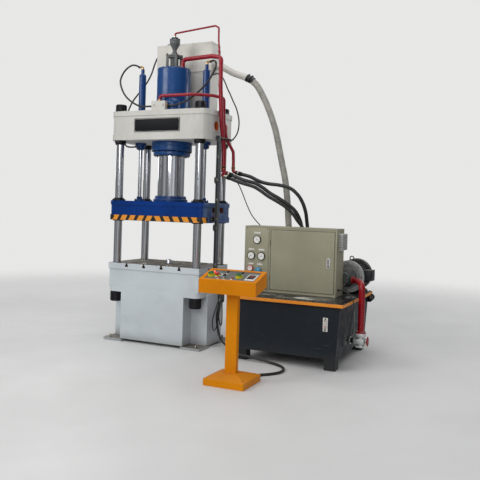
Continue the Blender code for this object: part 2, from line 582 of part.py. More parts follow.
def make_pedestal():
    h = PED_H
    bm = bmesh.new()
    post_x, post_y = 0.057, 0.027
    rings = []
    for dx, dy, z in ((h, h, 0.0), (h, h, 0.062), (0.098, 0.080, 0.100)):
        rings.append([bm.verts.new((PED_X + sx * dx, PED_Y + sy * dy, z)) for sx, sy in ((-1, -1), (1, -1), (1, 1), (-1, 1))])
    bm.faces.new(rings[0])
    bm.faces.new(rings[-1])
    for a, b in zip(rings, rings[1:]):
        for i in range(4):
            j = (i + 1) % 4
            bm.faces.new((a[i], a[j], b[j], b[i]))
    base = finish(bm)
    under = CON_ZF0 + (PED_Y - post_y - CON_Y0) * (CON_ZR0 - CON_ZF0) / (CON_Y1 - CON_Y0)
    post = prism([(PED_Y - post_y, 0.09), (PED_Y + post_y, 0.09),
                  (PED_Y + post_y, CON_ZF0 + (PED_Y + post_y - CON_Y0) * (CON_ZR0 - CON_ZF0) / (CON_Y1 - CON_Y0) - GAP),
                  (PED_Y - post_y, under - GAP)], PED_X - 0.012 - post_x, PED_X - 0.012 + post_x, "X")
    place("pedestal", join(base, ("+", post)), "pedestal_paint")

    box_shape = prism([(CON_Y0, CON_ZF0), (CON_Y1, CON_ZR0), (CON_Y1, CON_ZR1), (CON_Y0, CON_ZF1)], CON_X0, CON_X1, "X")
    # Recess that holds the control panel.
    tool = box(-0.248, -0.102, -0.005, 0.248, 0.102, 0.05)
    mid = Vector(((CON_X0 + CON_X1) / 2, (CON_Y0 + CON_Y1) / 2, (CON_ZF1 + CON_ZR1) / 2))
    tool.transform(Matrix.Translation(mid) @ Matrix.Rotation(SLOPE, 4, "X"))
    steps = [("-", tool)]
    for x, y, r in WELLS:
        well = rod(r + 0.0008, -0.014, 0.02, 16)
        well.transform(Matrix.Translation(on_console(x, y)) @ Matrix.Rotation(SLOPE, 4, "X"))
        steps.append(("-", well))
    place("console", join(box_shape, *steps), "pedestal_paint")

    # Sprung buttons: each stem reaches a little way down its well.
    for (x, y, r), side in zip(PALMS, ("left", "right")):
        panel_piece(f"palm_button_{side}", x, y,
                    [(0, -0.004), (r, -0.004), (r, 0.018), (0.030, 0.020), (0.030, 0.030), (0.024, 0.034), (0, 0.036)],
                    "green_plastic", 16)
    x, y, r = ESTOP
    panel_piece("estop_button", x, y,
                [(0, -0.004), (r, -0.004), (r, 0.014), (0.022, 0.018), (0.022, 0.026), (0.016, 0.030), (0, 0.031)],
                "red_plastic", 16)
    for k, (x, y, r) in enumerate(PUSHES):
        panel_piece(f"push_button_{k + 1}", x, y, [(0, -0.004), (r, -0.004), (r, 0.008), (0, 0.008)], "white_plastic", 12)
    for k, (x, y) in enumerate(SELECTORS):
        lever = box(-0.004, -0.014, 0.006, 0.004, 0.014, 0.020)
        panel_piece(f"selector_{k + 1}", x, y, [(0, 0), (0.0140, 0), (0.0140, 0.010), (0, 0.010)], "black_plastic", 14, lever)


def make_regulators():
    for name, x, z, mat in (("regulator_knob_red", 1.096, 0.943, "red_plastic"),
                            ("regulator_knob_blue", 1.195, 0.925, "blue_plastic")):
        y = CAB[1] - GAP
        place(name, turned([(0, y), (0.020, y), (0.020, y - 0.010), (0.036, y - 0.012), (0.036, y - 0.030),
                            (0.030, y - 0.034), (0, y - 0.034)], 20, "Y", (x, 0, z)), mat, (x, y, z))


# ----------------------------------------------------------------------------
# Hoses and cables
# ----------------------------------------------------------------------------
HOSES = {
    # name: (radius, material, step, way out at the start, way out at the end, route)
    "hose_left": (0.0110, "black_rubber", 0.060, (-1, 0, 0), (-1, 0, 0), [
        (-0.4773, 0.0, 3.332), (-0.530, 0.0, 3.350), (-0.590, -0.010, 3.362), (-0.650, -0.022, 3.334),
        (-0.703, -0.042, 3.270), (-0.728, -0.070, 3.170), (-0.689, -0.100, 3.070), (-0.607, -0.140, 2.968),
        (-0.501, -0.180, 2.888), (-0.397, -0.220, 2.835), (-0.310, -0.248, 2.804), (-0.220, -0.258, 2.794),
        (-0.1173, -0.258, 2.794)]),
    "hose_right": (0.0110, "black_rubber", 0.060, (1, 0, 0), (1, 0, 0), [
        (0.4773, 0.0, 3.336), (0.528, -0.002, 3.346), (0.568, -0.012, 3.322), (0.582, -0.030, 3.265),
        (0.565, -0.060, 3.193), (0.535, -0.100, 3.103), (0.479, -0.150, 3.003), (0.408, -0.200, 2.918),
        (0.322, -0.245, 2.842), (0.226, -0.262, 2.806), (0.150, -0.262, 2.794), (0.0663, -0.260, 2.794)]),
    "hose_tank": (0.0100, "black_rubber", 0.060, (-1, 0, 0), (-1, 0, 0), [
        (-0.3903, 0.300, 3.512), (-0.436, 0.300, 3.498), (-0.470, 0.296, 3.420), (-0.505, 0.288, 3.311),
        (-0.556, 0.268, 3.198), (-0.640, 0.225, 3.065), (-0.706, 0.165, 2.930), (-0.738, 0.110, 2.770),
        (-0.742, 0.070, 2.600), (-0.724, 0.036, 2.440), (-0.676, 0.014, 2.362), (-0.600, 0.002, 2.342),
        (-0.4973, 0.0, 2.345)]),
    "tank_return_hose": (0.0390, "grey_rubber", 0.130, (1, 0, 0), (0, 0, 1), [
        (0.3903, 0.330, 3.350), (0.620, 0.347, 3.268), (0.756, 0.358, 3.216), (0.858, 0.366, 3.168), (0.942, 0.376, 3.090),
        (1.026, 0.389, 2.944), (1.076, 0.399, 2.837), (1.126, 0.410, 2.709), (1.180, 0.425, 2.537), (1.222, 0.440, 2.340),
        (1.262, 0.455, 2.149), (1.300, 0.473, 1.956), (1.326, 0.496, 1.703), (1.343, 0.515, 1.419), (1.362, 0.535, 1.150),
        (1.372, 0.545, 0.900), (1.372, 0.550, 0.6843)]),
    "power_hose_upper": (0.0210, "black_rubber", 0.085, (0.895, 0.339, -0.290), (0, 0, 1), [
        (0.8305, 0.0953, 2.0319), (0.984, 0.138, 1.990), (1.084, 0.166, 1.941), (1.183, 0.193, 1.914), (1.325, 0.231, 1.898),
        (1.437, 0.263, 1.867), (1.521, 0.292, 1.797), (1.575, 0.321, 1.705), (1.606, 0.353, 1.591), (1.616, 0.383, 1.467),
        (1.635, 0.400, 1.300), (1.658, 0.405, 1.150), (1.665, 0.405, 0.9903)]),
    "power_hose_lower": (0.0210, "black_rubber", 0.085, (0.865, 0.4165, -0.2817), (0, 0, 1), [
        (0.7593, -0.0092, 2.0159), (0.930, 0.045, 1.951), (1.071, 0.087, 1.912), (1.155, 0.115, 1.864), (1.238, 0.145, 1.802),
        (1.349, 0.182, 1.737), (1.445, 0.216, 1.671), (1.515, 0.250, 1.602), (1.555, 0.285, 1.517), (1.572, 0.320, 1.432),
        (1.575, 0.360, 1.300), (1.556, 0.392, 1.150), (1.545, 0.405, 0.9603)]),
    "pedestal_cable": (0.0135, "black_rubber", 0.075, (0, 1, 0), (1, 0, 0), [
        (1.600, -1.1251, 0.034), (1.614, -1.050, 0.022), (1.650, -0.975, 0.0150), (1.712, -0.905, 0.0145), (1.770, -0.800, 0.0145),
        (1.768, -0.680, 0.0145), (1.690, -0.560, 0.0150), (1.540, -0.485, 0.020), (1.400, -0.477, 0.036),
        (1.266, -0.480, 0.050), (1.150, -0.484, 0.060), (1.050, -0.420, 0.070), (0.975, -0.310, 0.072), (0.897, -0.200, 0.070), (0.800, -0.100, 0.085),
        (0.735, -0.045, 0.130), (0.703, -0.040, 0.235), (0.700, -0.057, 0.372), (0.700, -0.010, 0.478),
        (0.699, 0.080, 0.560), (0.690, 0.130, 0.640), (0.663, 0.150, 0.715), (0.6063, 0.150, 0.745)]),
}


def make_hoses():
    for name, (r, mat, step, out_a, out_b, route) in HOSES.items():
        # A short straight stub leaves each fitting square, then the hose curves freely.
        a, b = Vector(route[0]), Vector(route[-1])
        a2, b2 = a + Vector(out_a) * step * 0.45, b + Vector(out_b) * step * 0.45
        line = smooth_path([a2] + route[1:-1] + [b2], step)
        tube(name, [a] + line + [b], r, mat, 2)


make_bed()
make_columns()
make_crown()
make_cylinders()
make_pipes()
make_rail_and_ejector()
make_platen()
make_power_unit()
make_pedestal()
make_regulators()
make_hoses()
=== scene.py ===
"""Four-column hydraulic press, power unit and control pedestal: the visual model.

All coordinates given to the helpers are metres from the press's centre line on the
floor; SX and SY carry them into the row frame.
"""

import math
import random

import bmesh
import bpy
from mathutils import Matrix, Vector


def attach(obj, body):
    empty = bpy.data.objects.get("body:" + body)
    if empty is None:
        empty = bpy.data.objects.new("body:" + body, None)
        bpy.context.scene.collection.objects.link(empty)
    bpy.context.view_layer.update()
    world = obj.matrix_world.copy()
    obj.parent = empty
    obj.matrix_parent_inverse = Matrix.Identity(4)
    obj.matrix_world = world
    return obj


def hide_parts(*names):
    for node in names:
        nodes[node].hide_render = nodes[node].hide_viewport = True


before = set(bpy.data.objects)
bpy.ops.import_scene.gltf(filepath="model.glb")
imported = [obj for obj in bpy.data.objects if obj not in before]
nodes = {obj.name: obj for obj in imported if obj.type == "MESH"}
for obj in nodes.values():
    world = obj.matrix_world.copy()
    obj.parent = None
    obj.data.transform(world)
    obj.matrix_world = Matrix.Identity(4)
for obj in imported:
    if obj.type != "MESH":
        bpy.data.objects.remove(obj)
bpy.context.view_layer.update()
rng = random.Random(7)

SX, SY = -0.8925, 0.2918
SHIFT = Matrix.Translation((SX, SY, 0.0))


def W(x, y, z):
    return Vector((x + SX, y + SY, z))


# ----------------------------------------------------------------------------
# Camera
# ----------------------------------------------------------------------------
def make_camera():
    a, e, k = math.radians(24.39), math.radians(0.49), math.radians(1.69)
    d = Vector((-math.sin(a) * math.cos(e), math.cos(a) * math.cos(e), -math.sin(e)))
    r0 = Vector((math.cos(a), math.sin(a), 0.0))
    u0 = r0.cross(d)
    right = r0 * math.cos(k) + u0 * math.sin(k)
    up = -r0 * math.sin(k) + u0 * math.cos(k)
    data = bpy.data.cameras.new("camera")
    data.sensor_width = 36.0
    data.lens = 36.0 * 632.3 / 480.0
    data.shift_y = -26.5 / 480.0
    data.clip_end = 200.0
    cam = bpy.data.objects.new("camera", data)
    m = Matrix((right, up, -d)).transposed().to_4x4()
    m.translation = W(3.939, -6.635, 1.620)
    cam.matrix_world = m
    bpy.context.scene.collection.objects.link(cam)
    bpy.context.scene.camera = cam


make_camera()


# ----------------------------------------------------------------------------
# Material nodes
# ----------------------------------------------------------------------------
class Nodes:
    """A short way to write a node tree."""

    def __init__(self, name):
        self.mat = bpy.data.materials.new(name)
        self.mat.use_nodes = True
        self.t = self.mat.node_tree
        self.bsdf = self.t.nodes["Principled BSDF"]
        self.co = self.new("ShaderNodeTexCoord").outputs["Object"]
        self._sep = None

    def new(self, kind, **props):
        n = self.t.nodes.new(kind)
        for k, v in props.items():
            setattr(n, k, v)
        return n

    def put(self, socket, value):
        if isinstance(value, bpy.types.NodeSocket):
            self.t.links.new(value, socket)
        elif value is not None:
            if socket.type == "RGBA" and len(value) == 3:
                value = (*value, 1.0)
            socket.default_value = value

    def xyz(self):
        if self._sep is None:
            n = self.new("ShaderNodeSeparateXYZ")
            self.put(n.inputs[0], self.co)
            self._sep = n.outputs
        return self._sep

    def normal(self):
        g = self.new("ShaderNodeNewGeometry")
        n = self.new("ShaderNodeSeparateXYZ")
        self.put(n.inputs[0], g.outputs["Normal"])
        return n.outputs

    def math(self, op, a, b=None, c=None, clamp=False):
        n = self.new("ShaderNodeMath", operation=op, use_clamp=clamp)
        self.put(n.inputs[0], a)
        if b is not None:
            self.put(n.inputs[1], b)
        if c is not None:
            self.put(n.inputs[2], c)
        return n.outputs[0]

    def scaled(self, sx, sy, sz, off=(0, 0, 0)):
        n = self.new("ShaderNodeMapping")
        self.put(n.inputs["Vector"], self.co)
        n.inputs["Scale"].default_value = (sx, sy, sz)
        n.inputs["Location"].default_value = off
        return n.outputs[0]

    def noise(self, scale, detail=3.0, rough=0.55, vec=None, distort=0.0):
        n = self.new("ShaderNodeTexNoise")
        self.put(n.inputs["Vector"], vec if vec is not None else self.co)
        n.inputs["Scale"].default_value = scale
        n.inputs["Detail"].default_value = detail
        n.inputs["Roughness"].default_value = rough
        n.inputs["Distortion"].default_value = distort
        return n.outputs["Fac"]

    def voronoi(self, scale, feature="F1", vec=None):
        n = self.new("ShaderNodeTexVoronoi", feature=feature)
        self.put(n.inputs["Vector"], vec if vec is not None else self.co)
        n.inputs["Scale"].default_value = scale
        return n.outputs["Distance"]

    def ramp(self, fac, lo, hi, a=0.0, b=1.0):
        n = self.new("ShaderNodeMapRange", interpolation_type="SMOOTHSTEP")
        self.put(n.inputs["Value"], fac)
        for key, v in (("From Min", lo), ("From Max", hi), ("To Min", a), ("To Max", b)):
            n.inputs[key].default_value = v
        return n.outputs["Result"]

    def mix(self, fac, a, b, blend="MIX"):
        n = self.new("ShaderNodeMix", data_type="RGBA", blend_type=blend)
        self.put(n.inputs[0], fac)
        self.put(n.inputs[6], a)
        self.put(n.inputs[7], b)
        return n.outputs[2]

    def lerp(self, fac, a, b):
        n = self.new("ShaderNodeMix", data_type="FLOAT")
        self.put(n.inputs[0], fac)
        self.put(n.inputs[2], a)
        self.put(n.inputs[3], b)
        return n.outputs[0]

    def bump(self, height, strength=0.3, distance=0.001, under=None):
        n = self.new("ShaderNodeBump")
        n.inputs["Strength"].default_value = strength
        n.inputs["Distance"].default_value = distance
        self.put(n.inputs["Height"], height)
        if under is not None:
            self.put(n.inputs["Normal"], under)
        return n.outputs[0]

    def edges(self, radius=0.004):
        """1 along convex and concave edges, 0 on flats."""
        b = self.new("ShaderNodeBevel", samples=4)
        b.inputs["Radius"].default_value = radius
        g = self.new("ShaderNodeNewGeometry")
        d = self.new("ShaderNodeVectorMath", operation="DOT_PRODUCT")
        self.put(d.inputs[0], b.outputs[0])
        self.put(d.inputs[1], g.outputs["Normal"])
        return self.math("SUBTRACT", 1.0, d.outputs["Value"], clamp=True)

    def done(self, colour=None, rough=None, normal=None, metal=None, coat=None, spec=None):
        b = self.bsdf.inputs
        self.put(b["Base Color"], colour)
        self.put(b["Roughness"], rough)
        self.put(b["Normal"], normal)
        self.put(b["Metallic"], metal)
        if coat is not None:
            b["Coat Weight"].default_value = coat
            b["Coat Roughness"].default_value = 0.12
        if spec is not None:
            b["Specular IOR Level"].default_value = spec
        return self.mat


def lin(r, g, b):
    """sRGB bytes to the linear values that a shader takes."""
    return tuple(((c / 255.0) / 12.92) if c <= 10 else (((c / 255.0) + 0.055) / 1.055) ** 2.4 for c in (r, g, b))


def tint(c, k):
    return tuple(min(1.0, v * k) for v in c)


MATS = {}


def enamel(name, rgb, rough=0.38, dirt=0.35, dirt_rgb=(70, 62, 50), wear=0.35, wear_rgb=(120, 112, 100), chips=0.0,
           low=None, dust=0.12, streak=0.2, peel=0.05, wave=0.25, coat=0.0, vary=0.10, edge=0.0035, spec=0.40):
    """Painted steel: uneven colour, grime, run marks, dust on upward faces, worn edges, orange peel and plate waviness."""
    m = Nodes(name)
    base = lin(*rgb)
    big = m.noise(1.7, 4, 0.6)
    col = m.mix(m.ramp(big, 0.3, 0.7), tint(base, 1 - vary), tint(base, 1 + vary * 0.8))
    mott = m.noise(38, 4, 0.65)
    col = m.mix(m.ramp(mott, 0.35, 0.75, 0.0, 0.30), col, tint(base, 0.86))
    # Run marks and wiped grime.
    run = m.noise(1.0, 5, 0.6, m.scaled(26, 26, 1.3))
    runs = m.ramp(run, 0.56, 0.78, 0.0, streak)
    col = m.mix(runs, col, tint(lin(*dirt_rgb), 0.9))
    patch = m.noise(5.5, 6, 0.68, distort=0.6)
    grime = m.ramp(patch, 0.52, 0.80, 0.0, dirt)
    col = m.mix(grime, col, lin(*dirt_rgb))
    if low is not None:
        z0, z1, amount = low
        near = m.ramp(m.math("ADD", m.xyz()[2], m.math("MULTIPLY", patch, 0.10)), z0, z1, amount, 0.0)
        col = m.mix(near, col, lin(*dirt_rgb))
    nz = m.normal()[2]
    top = m.math("MULTIPLY", m.ramp(nz, 0.45, 0.95), m.ramp(m.noise(9, 4), 0.25, 0.7, 0.35, 1.0))
    col = m.mix(m.math("MULTIPLY", top, dust), col, lin(150, 142, 128))
    rgh = m.math("ADD", rough, m.math("MULTIPLY", grime, 0.35), clamp=True)
    rgh = m.math("ADD", rgh, m.ramp(m.noise(14, 5, 0.7), 0.3, 0.8, -0.05, 0.10), clamp=True)
    rgh = m.math("ADD", rgh, m.math("MULTIPLY", top, dust), clamp=True)
    if wear > 0:
        e = m.edges(edge)
        broken = m.noise(70, 5, 0.7)
        worn = m.ramp(m.math("MULTIPLY", e, m.ramp(broken, 0.40, 0.62)), 0.03, 0.16, 0.0, wear)
        col = m.mix(worn, col, lin(*wear_rgb))
    if chips > 0:
        c = m.noise(46, 3, 0.5, distort=0.3)
        c2 = m.noise(3.1, 3, 0.6)
        chip = m.math("MULTIPLY", m.ramp(c, 0.70, 0.73), m.ramp(c2, 0.45, 0.65, 0.0, chips))
        col = m.mix(chip, col, lin(*wear_rgb))
    h = m.math("ADD", m.math("MULTIPLY", m.noise(420, 2, 0.5), peel), m.math("MULTIPLY", m.noise(5, 3, 0.5), wave))
    nrm = m.bump(h, 0.35, 0.004)
    MATS[name] = m.done(col, rgh, nrm, coat=coat, spec=spec)
    return MATS[name]


def metal(name, rgb, rough=0.25, grain=(1, 1, 300), grime=0.25, grime_rgb=(60, 52, 42), vary=0.12, rust=0.0, aniso=0.0,
          bump=0.12, metallic=1.0, edge=0.0):
    """Bare metal: fine machining lines, oil smears, stains and a little rust."""
    m = Nodes(name)
    base = lin(*rgb)
    lines = m.noise(1.0, 3, 0.6, m.scaled(*grain))
    big = m.noise(6, 4, 0.6)
    col = m.mix(m.ramp(lines, 0.3, 0.7), tint(base, 1 - vary), tint(base, 1 + vary * 0.6))
    stain = m.ramp(m.noise(9, 6, 0.7, distort=0.8), 0.52, 0.78, 0.0, grime)
    col = m.mix(stain, col, lin(*grime_rgb))
    rgh = m.math("ADD", rough, m.ramp(big, 0.3, 0.75, -rough * 0.3, rough * 0.6))
    rgh = m.math("ADD", rgh, m.math("MULTIPLY", stain, 0.35), clamp=True)
    if rust > 0:
        r = m.ramp(m.noise(21, 7, 0.75, distort=0.5), 0.56, 0.74, 0.0, rust)
        col = m.mix(r, col, lin(112, 66, 38))
        rgh = m.math("ADD", rgh, m.math("MULTIPLY", r, 0.4), clamp=True)
        met = m.math("SUBTRACT", metallic, m.math("MULTIPLY", r, 0.8), clamp=True)
    else:
        met = metallic
    if edge > 0:
        e = m.edges(0.003)
        bright = m.ramp(m.math("MULTIPLY", e, m.ramp(m.noise(60, 4), 0.3, 0.6)), 0.02, 0.15, 0.0, edge)
        col = m.mix(bright, col, tint(base, 1.6))
    nrm = m.bump(m.math("ADD", lines, m.math("MULTIPLY", m.noise(150, 3), 0.3)), bump, 0.0006)
    MATS[name] = m.done(col, rgh, nrm, met)
    return MATS[name]


def plastic(name, rgb, rough=0.32, grime=0.2, vary=0.06, bump=0.05, scale=300, coat=0.0, grime_rgb=(70, 62, 52), spec=0.5):
    m = Nodes(name)
    base = lin(*rgb)
    col = m.mix(m.ramp(m.noise(25, 4), 0.3, 0.7), tint(base, 1 - vary), tint(base, 1 + vary))
    g = m.ramp(m.noise(60, 5, 0.7, distort=0.5), 0.50, 0.78, 0.0, grime)
    col = m.mix(g, col, lin(*grime_rgb))
    rgh = m.math("ADD", rough, m.math("MULTIPLY", g, 0.4), clamp=True)
    nrm = m.bump(m.noise(scale, 2), bump, 0.0008)
    MATS[name] = m.done(col, rgh, nrm, 0.0, coat=coat, spec=spec)
    return MATS[name]


def rubber(name, rgb, rough=0.5, dust_rgb=(120, 112, 100), dust=0.25, weave=0.0):
    """Hose cover: dusty where it faces up, scuffed, with a fine wrapped texture."""
    m = Nodes(name)
    base = lin(*rgb)
    col = m.mix(m.ramp(m.noise(12, 4), 0.3, 0.7), tint(base, 0.85), tint(base, 1.2))
    nz = m.normal()[2]
    d = m.math("MULTIPLY", m.ramp(nz, -0.1, 0.9), m.ramp(m.noise(30, 5, 0.7), 0.35, 0.7, 0.2, 1.0))
    col = m.mix(m.math("MULTIPLY", d, dust), col, lin(*dust_rgb))
    sc = m.ramp(m.noise(90, 4, 0.7, distort=1.0), 0.62, 0.75, 0.0, 0.35)
    col = m.mix(sc, col, tint(lin(*dust_rgb), 0.7))
    rgh = m.ramp(m.noise(18, 4), 0.3, 0.7, rough - 0.12, rough + 0.15)
    nrm = m.bump(m.noise(520, 3, 0.6), 0.25, 0.0006)
    MATS[name] = m.done(col, rgh, nrm, 0.0)
    return MATS[name]


def chrome(name, rgb=(205, 207, 212), rough=0.10):
    """Hard chrome: fine grinding rings round the shaft, an oil film in smears, faint stains."""
    m = Nodes(name)
    base = lin(*rgb)
    rings = m.noise(1.0, 2, 0.5, m.scaled(3, 3, 900))
    film = m.noise(1.0, 5, 0.65, m.scaled(7, 7, 2.2), distort=0.8)
    col = m.mix(m.ramp(film, 0.45, 0.72, 0.0, 0.45), base, tint(base, 0.72))
    col = m.mix(m.ramp(m.noise(30, 6, 0.75), 0.60, 0.75, 0.0, 0.30), col, lin(120, 110, 95))
    rgh = m.math("ADD", rough, m.ramp(film, 0.4, 0.75, -0.03, 0.12), clamp=True)
    rgh = m.math("ADD", rgh, m.math("MULTIPLY", rings, 0.03), clamp=True)
    nrm = m.bump(rings, 0.10, 0.0003)
    MATS[name] = m.done(col, rgh, nrm, 1.0)
    return MATS[name]


def make_materials():
    enamel("crown_paint", (204, 203, 197), 0.36, dirt=0.16, dirt_rgb=(120, 110, 92), wear=0.30, wear_rgb=(150, 140, 120), streak=0.10, dust=0.30,
           chips=0.25)
    enamel("tank_cream", (209, 207, 199), 0.42, dirt=0.12, dirt_rgb=(140, 130, 112), wear=0.20, streak=0.08, dust=0.30)
    enamel("side_panel", (196, 197, 192), 0.40, dirt=0.10, dirt_rgb=(130, 125, 112), wear=0.20)
    enamel("cylinder_blue", (12, 68, 128), 0.30, dirt=0.10, dirt_rgb=(14, 34, 62), wear=0.20, wear_rgb=(110, 130, 150), streak=0.12, dust=0.25,
           coat=0.12, wave=0.10)
    enamel("flange_blue", (10, 60, 122), 0.28, dirt=0.15, dirt_rgb=(12, 28, 55), wear=0.35, wear_rgb=(120, 140, 165), coat=0.12, dust=0.30)
    enamel("red_paint", (150, 10, 34), 0.30, dirt=0.12, dirt_rgb=(78, 16, 24), wear=0.20, wear_rgb=(150, 90, 80), coat=0.10, dust=0.22, edge=0.002)
    enamel("suction_red", (150, 0, 20), 0.28, dirt=0.10, dirt_rgb=(80, 6, 16), wear=0.2, coat=0.12, dust=0.12)
    enamel("pedestal_yellow", (222, 137, 0), 0.40, dirt=0.10, dirt_rgb=(130, 82, 20), wear=0.42, wear_rgb=(200, 176, 140), chips=0.35, dust=0.10,
           spec=0.14)
    enamel("khaki", (158, 155, 132), 0.44, dirt=0.10, dirt_rgb=(108, 102, 84), wear=0.5, wear_rgb=(184, 180, 160), streak=0.08, dust=0.30, chips=0.15)
    enamel("motor_dark", (40, 42, 45), 0.45, dirt=0.30, dirt_rgb=(34, 32, 30), wear=0.4, wear_rgb=(120, 120, 118), dust=0.35)
    enamel("motor_light", (172, 175, 174), 0.42, dirt=0.30, dirt_rgb=(60, 58, 54), wear=0.4, wear_rgb=(160, 160, 158), dust=0.3)
    enamel("rail_dark", (84, 88, 92), 0.42, dirt=0.25, dirt_rgb=(34, 33, 32), wear=0.5, wear_rgb=(130, 130, 128), dust=0.25)
    enamel("window_orange", (214, 96, 28), 0.6, dirt=0.35, dirt_rgb=(120, 56, 22), wear=0.0, dust=0.0)
    enamel("rust_window", (128, 76, 50), 0.75, dirt=0.5, dirt_rgb=(86, 44, 24), wear=0.0, dust=0.0)
    enamel("rust_dark", (104, 66, 44), 0.8, dirt=0.5, dirt_rgb=(52, 34, 26), wear=0.0, dust=0.0)
    enamel("cast_grey", (98, 101, 102), 0.45, dirt=0.40, dirt_rgb=(66, 66, 60), wear=0.5, wear_rgb=(170, 172, 168), dust=0.25, peel=0.35)
    enamel("pump_grey", (84, 87, 88), 0.42, dirt=0.45, dirt_rgb=(40, 38, 34), wear=0.5, wear_rgb=(160, 160, 156), dust=0.25, peel=0.30)
    metal("black_steel", (40, 40, 44), 0.38, grime=0.3, grime_rgb=(18, 17, 17), bump=0.2, metallic=0.75, edge=0.6, grain=(90, 90, 90))
    metal("bolt_black", (34, 34, 37), 0.36, grime=0.3, grime_rgb=(18, 17, 17), bump=0.15, metallic=0.7, edge=0.8, grain=(200, 200, 200))
    metal("bolt_zinc", (176, 172, 160), 0.30, grime=0.35, bump=0.15, edge=0.5, grain=(200, 200, 200))
    metal("bright_steel", (170, 171, 172), 0.28, grime=0.25, bump=0.2)
    metal("valve_silver", (214, 216, 216), 0.40, grime=0.35, grime_rgb=(80, 78, 74), bump=0.3, edge=0.4, grain=(60, 60, 60))
    metal("brass", (190, 160, 112), 0.34, grime=0.30, grime_rgb=(94, 62, 30), bump=0.15, edge=0.5, grain=(120, 120, 120))
    metal("copper_fit", (188, 122, 92), 0.30, grime=0.30, grime_rgb=(92, 52, 36), bump=0.15, edge=0.4, grain=(120, 120, 120))
    metal("cable_steel", (150, 152, 154), 0.3, grime=0.2)
    chrome("chrome_column", (208, 211, 216), 0.13)
    chrome("chrome_ram", (214, 217, 222), 0.09)
    plastic("black_plastic", (26, 26, 28), 0.30)
    plastic("white_plastic", (225, 224, 218), 0.34, grime=0.15)
    plastic("label_white", (222, 222, 216), 0.45, grime=0.20)
    plastic("palm_green", (20, 92, 42), 0.30)
    plastic("palm_yellow", (214, 206, 30), 0.30)
    plastic("button_red", (190, 22, 28), 0.24, coat=0.3)
    plastic("knob_blue", (58, 140, 178), 0.30)
    plastic("knob_red", (196, 44, 56), 0.30)
    plastic("plate_black", (16, 18, 23), 0.55, grime=0.06, bump=0.02, spec=0.18)
    plastic("stripe_black", (24, 23, 22), 0.40, grime=0.25)
    plastic("stripe_orange", (232, 150, 42), 0.38, grime=0.22, grime_rgb=(120, 80, 40))
    plastic("dial_white", (236, 236, 232), 0.30, grime=0.04, bump=0.0)
    plastic("panel_grey", (122, 124, 122), 0.36, grime=0.22, grime_rgb=(80, 80, 78))
    plastic("display_red", (70, 14, 16), 0.12, grime=0.05, coat=0.5)
    plastic("wire_black", (22, 22, 24), 0.4, grime=0.2)
    rubber("hose_black", (34, 35, 36), 0.42, dust=0.22)
    rubber("hose_grey", (158, 156, 148), 0.50, dust=0.30, dust_rgb=(178, 172, 158))
    rubber("cable_black", (28, 29, 31), 0.40, dust=0.25)

    # Bed: white-grey enamel on the sides, bare oily steel on the machined table.
    m = Nodes("bed_paint")
    base = lin(201, 209, 214)
    big = m.noise(1.6, 4, 0.6)
    paint = m.mix(m.ramp(big, 0.3, 0.7), tint(base, 0.90), tint(base, 1.06))
    run = m.ramp(m.noise(1.0, 5, 0.6, m.scaled(24, 24, 1.4)), 0.56, 0.80, 0.0, 0.10)
    paint = m.mix(run, paint, lin(120, 116, 104))
    patch = m.noise(4.5, 6, 0.68, distort=0.6)
    paint = m.mix(m.ramp(patch, 0.54, 0.82, 0.0, 0.16), paint, lin(112, 108, 98))
    low = m.ramp(m.math("ADD", m.xyz()[2], m.math("MULTIPLY", patch, 0.12)), 0.02, 0.22, 0.60, 0.0)
    paint = m.mix(low, paint, lin(96, 90, 80))
    fleck = m.math("MULTIPLY", m.ramp(m.noise(52, 3, 0.5, distort=0.3), 0.71, 0.74), m.ramp(m.noise(3.3, 3), 0.45, 0.65, 0.0, 0.5))
    paint = m.mix(fleck, paint, lin(110, 96, 82))
    e = m.edges(0.004)
    paint = m.mix(m.ramp(m.math("MULTIPLY", e, m.ramp(m.noise(64, 5, 0.7), 0.42, 0.62)), 0.03, 0.16, 0.0, 0.55), paint, lin(104, 98, 88))
    steel_n = m.noise(1.0, 3, 0.6, m.scaled(240, 3, 3))
    steel = m.mix(m.ramp(steel_n, 0.3, 0.7), lin(114, 105, 90), lin(144, 135, 118))
    steel = m.mix(m.ramp(m.noise(3.4, 6, 0.7, distort=1.2), 0.48, 0.62, 0.0, 0.75), steel, lin(84, 72, 56))
    steel = m.mix(m.ramp(m.noise(3.6, 5, 0.7, distort=0.8), 0.56, 0.68, 0.0, 0.8), steel, lin(190, 184, 168))
    steel = m.mix(m.ramp(m.noise(40, 5, 0.75), 0.58, 0.70, 0.0, 0.4), steel, lin(70, 56, 42))
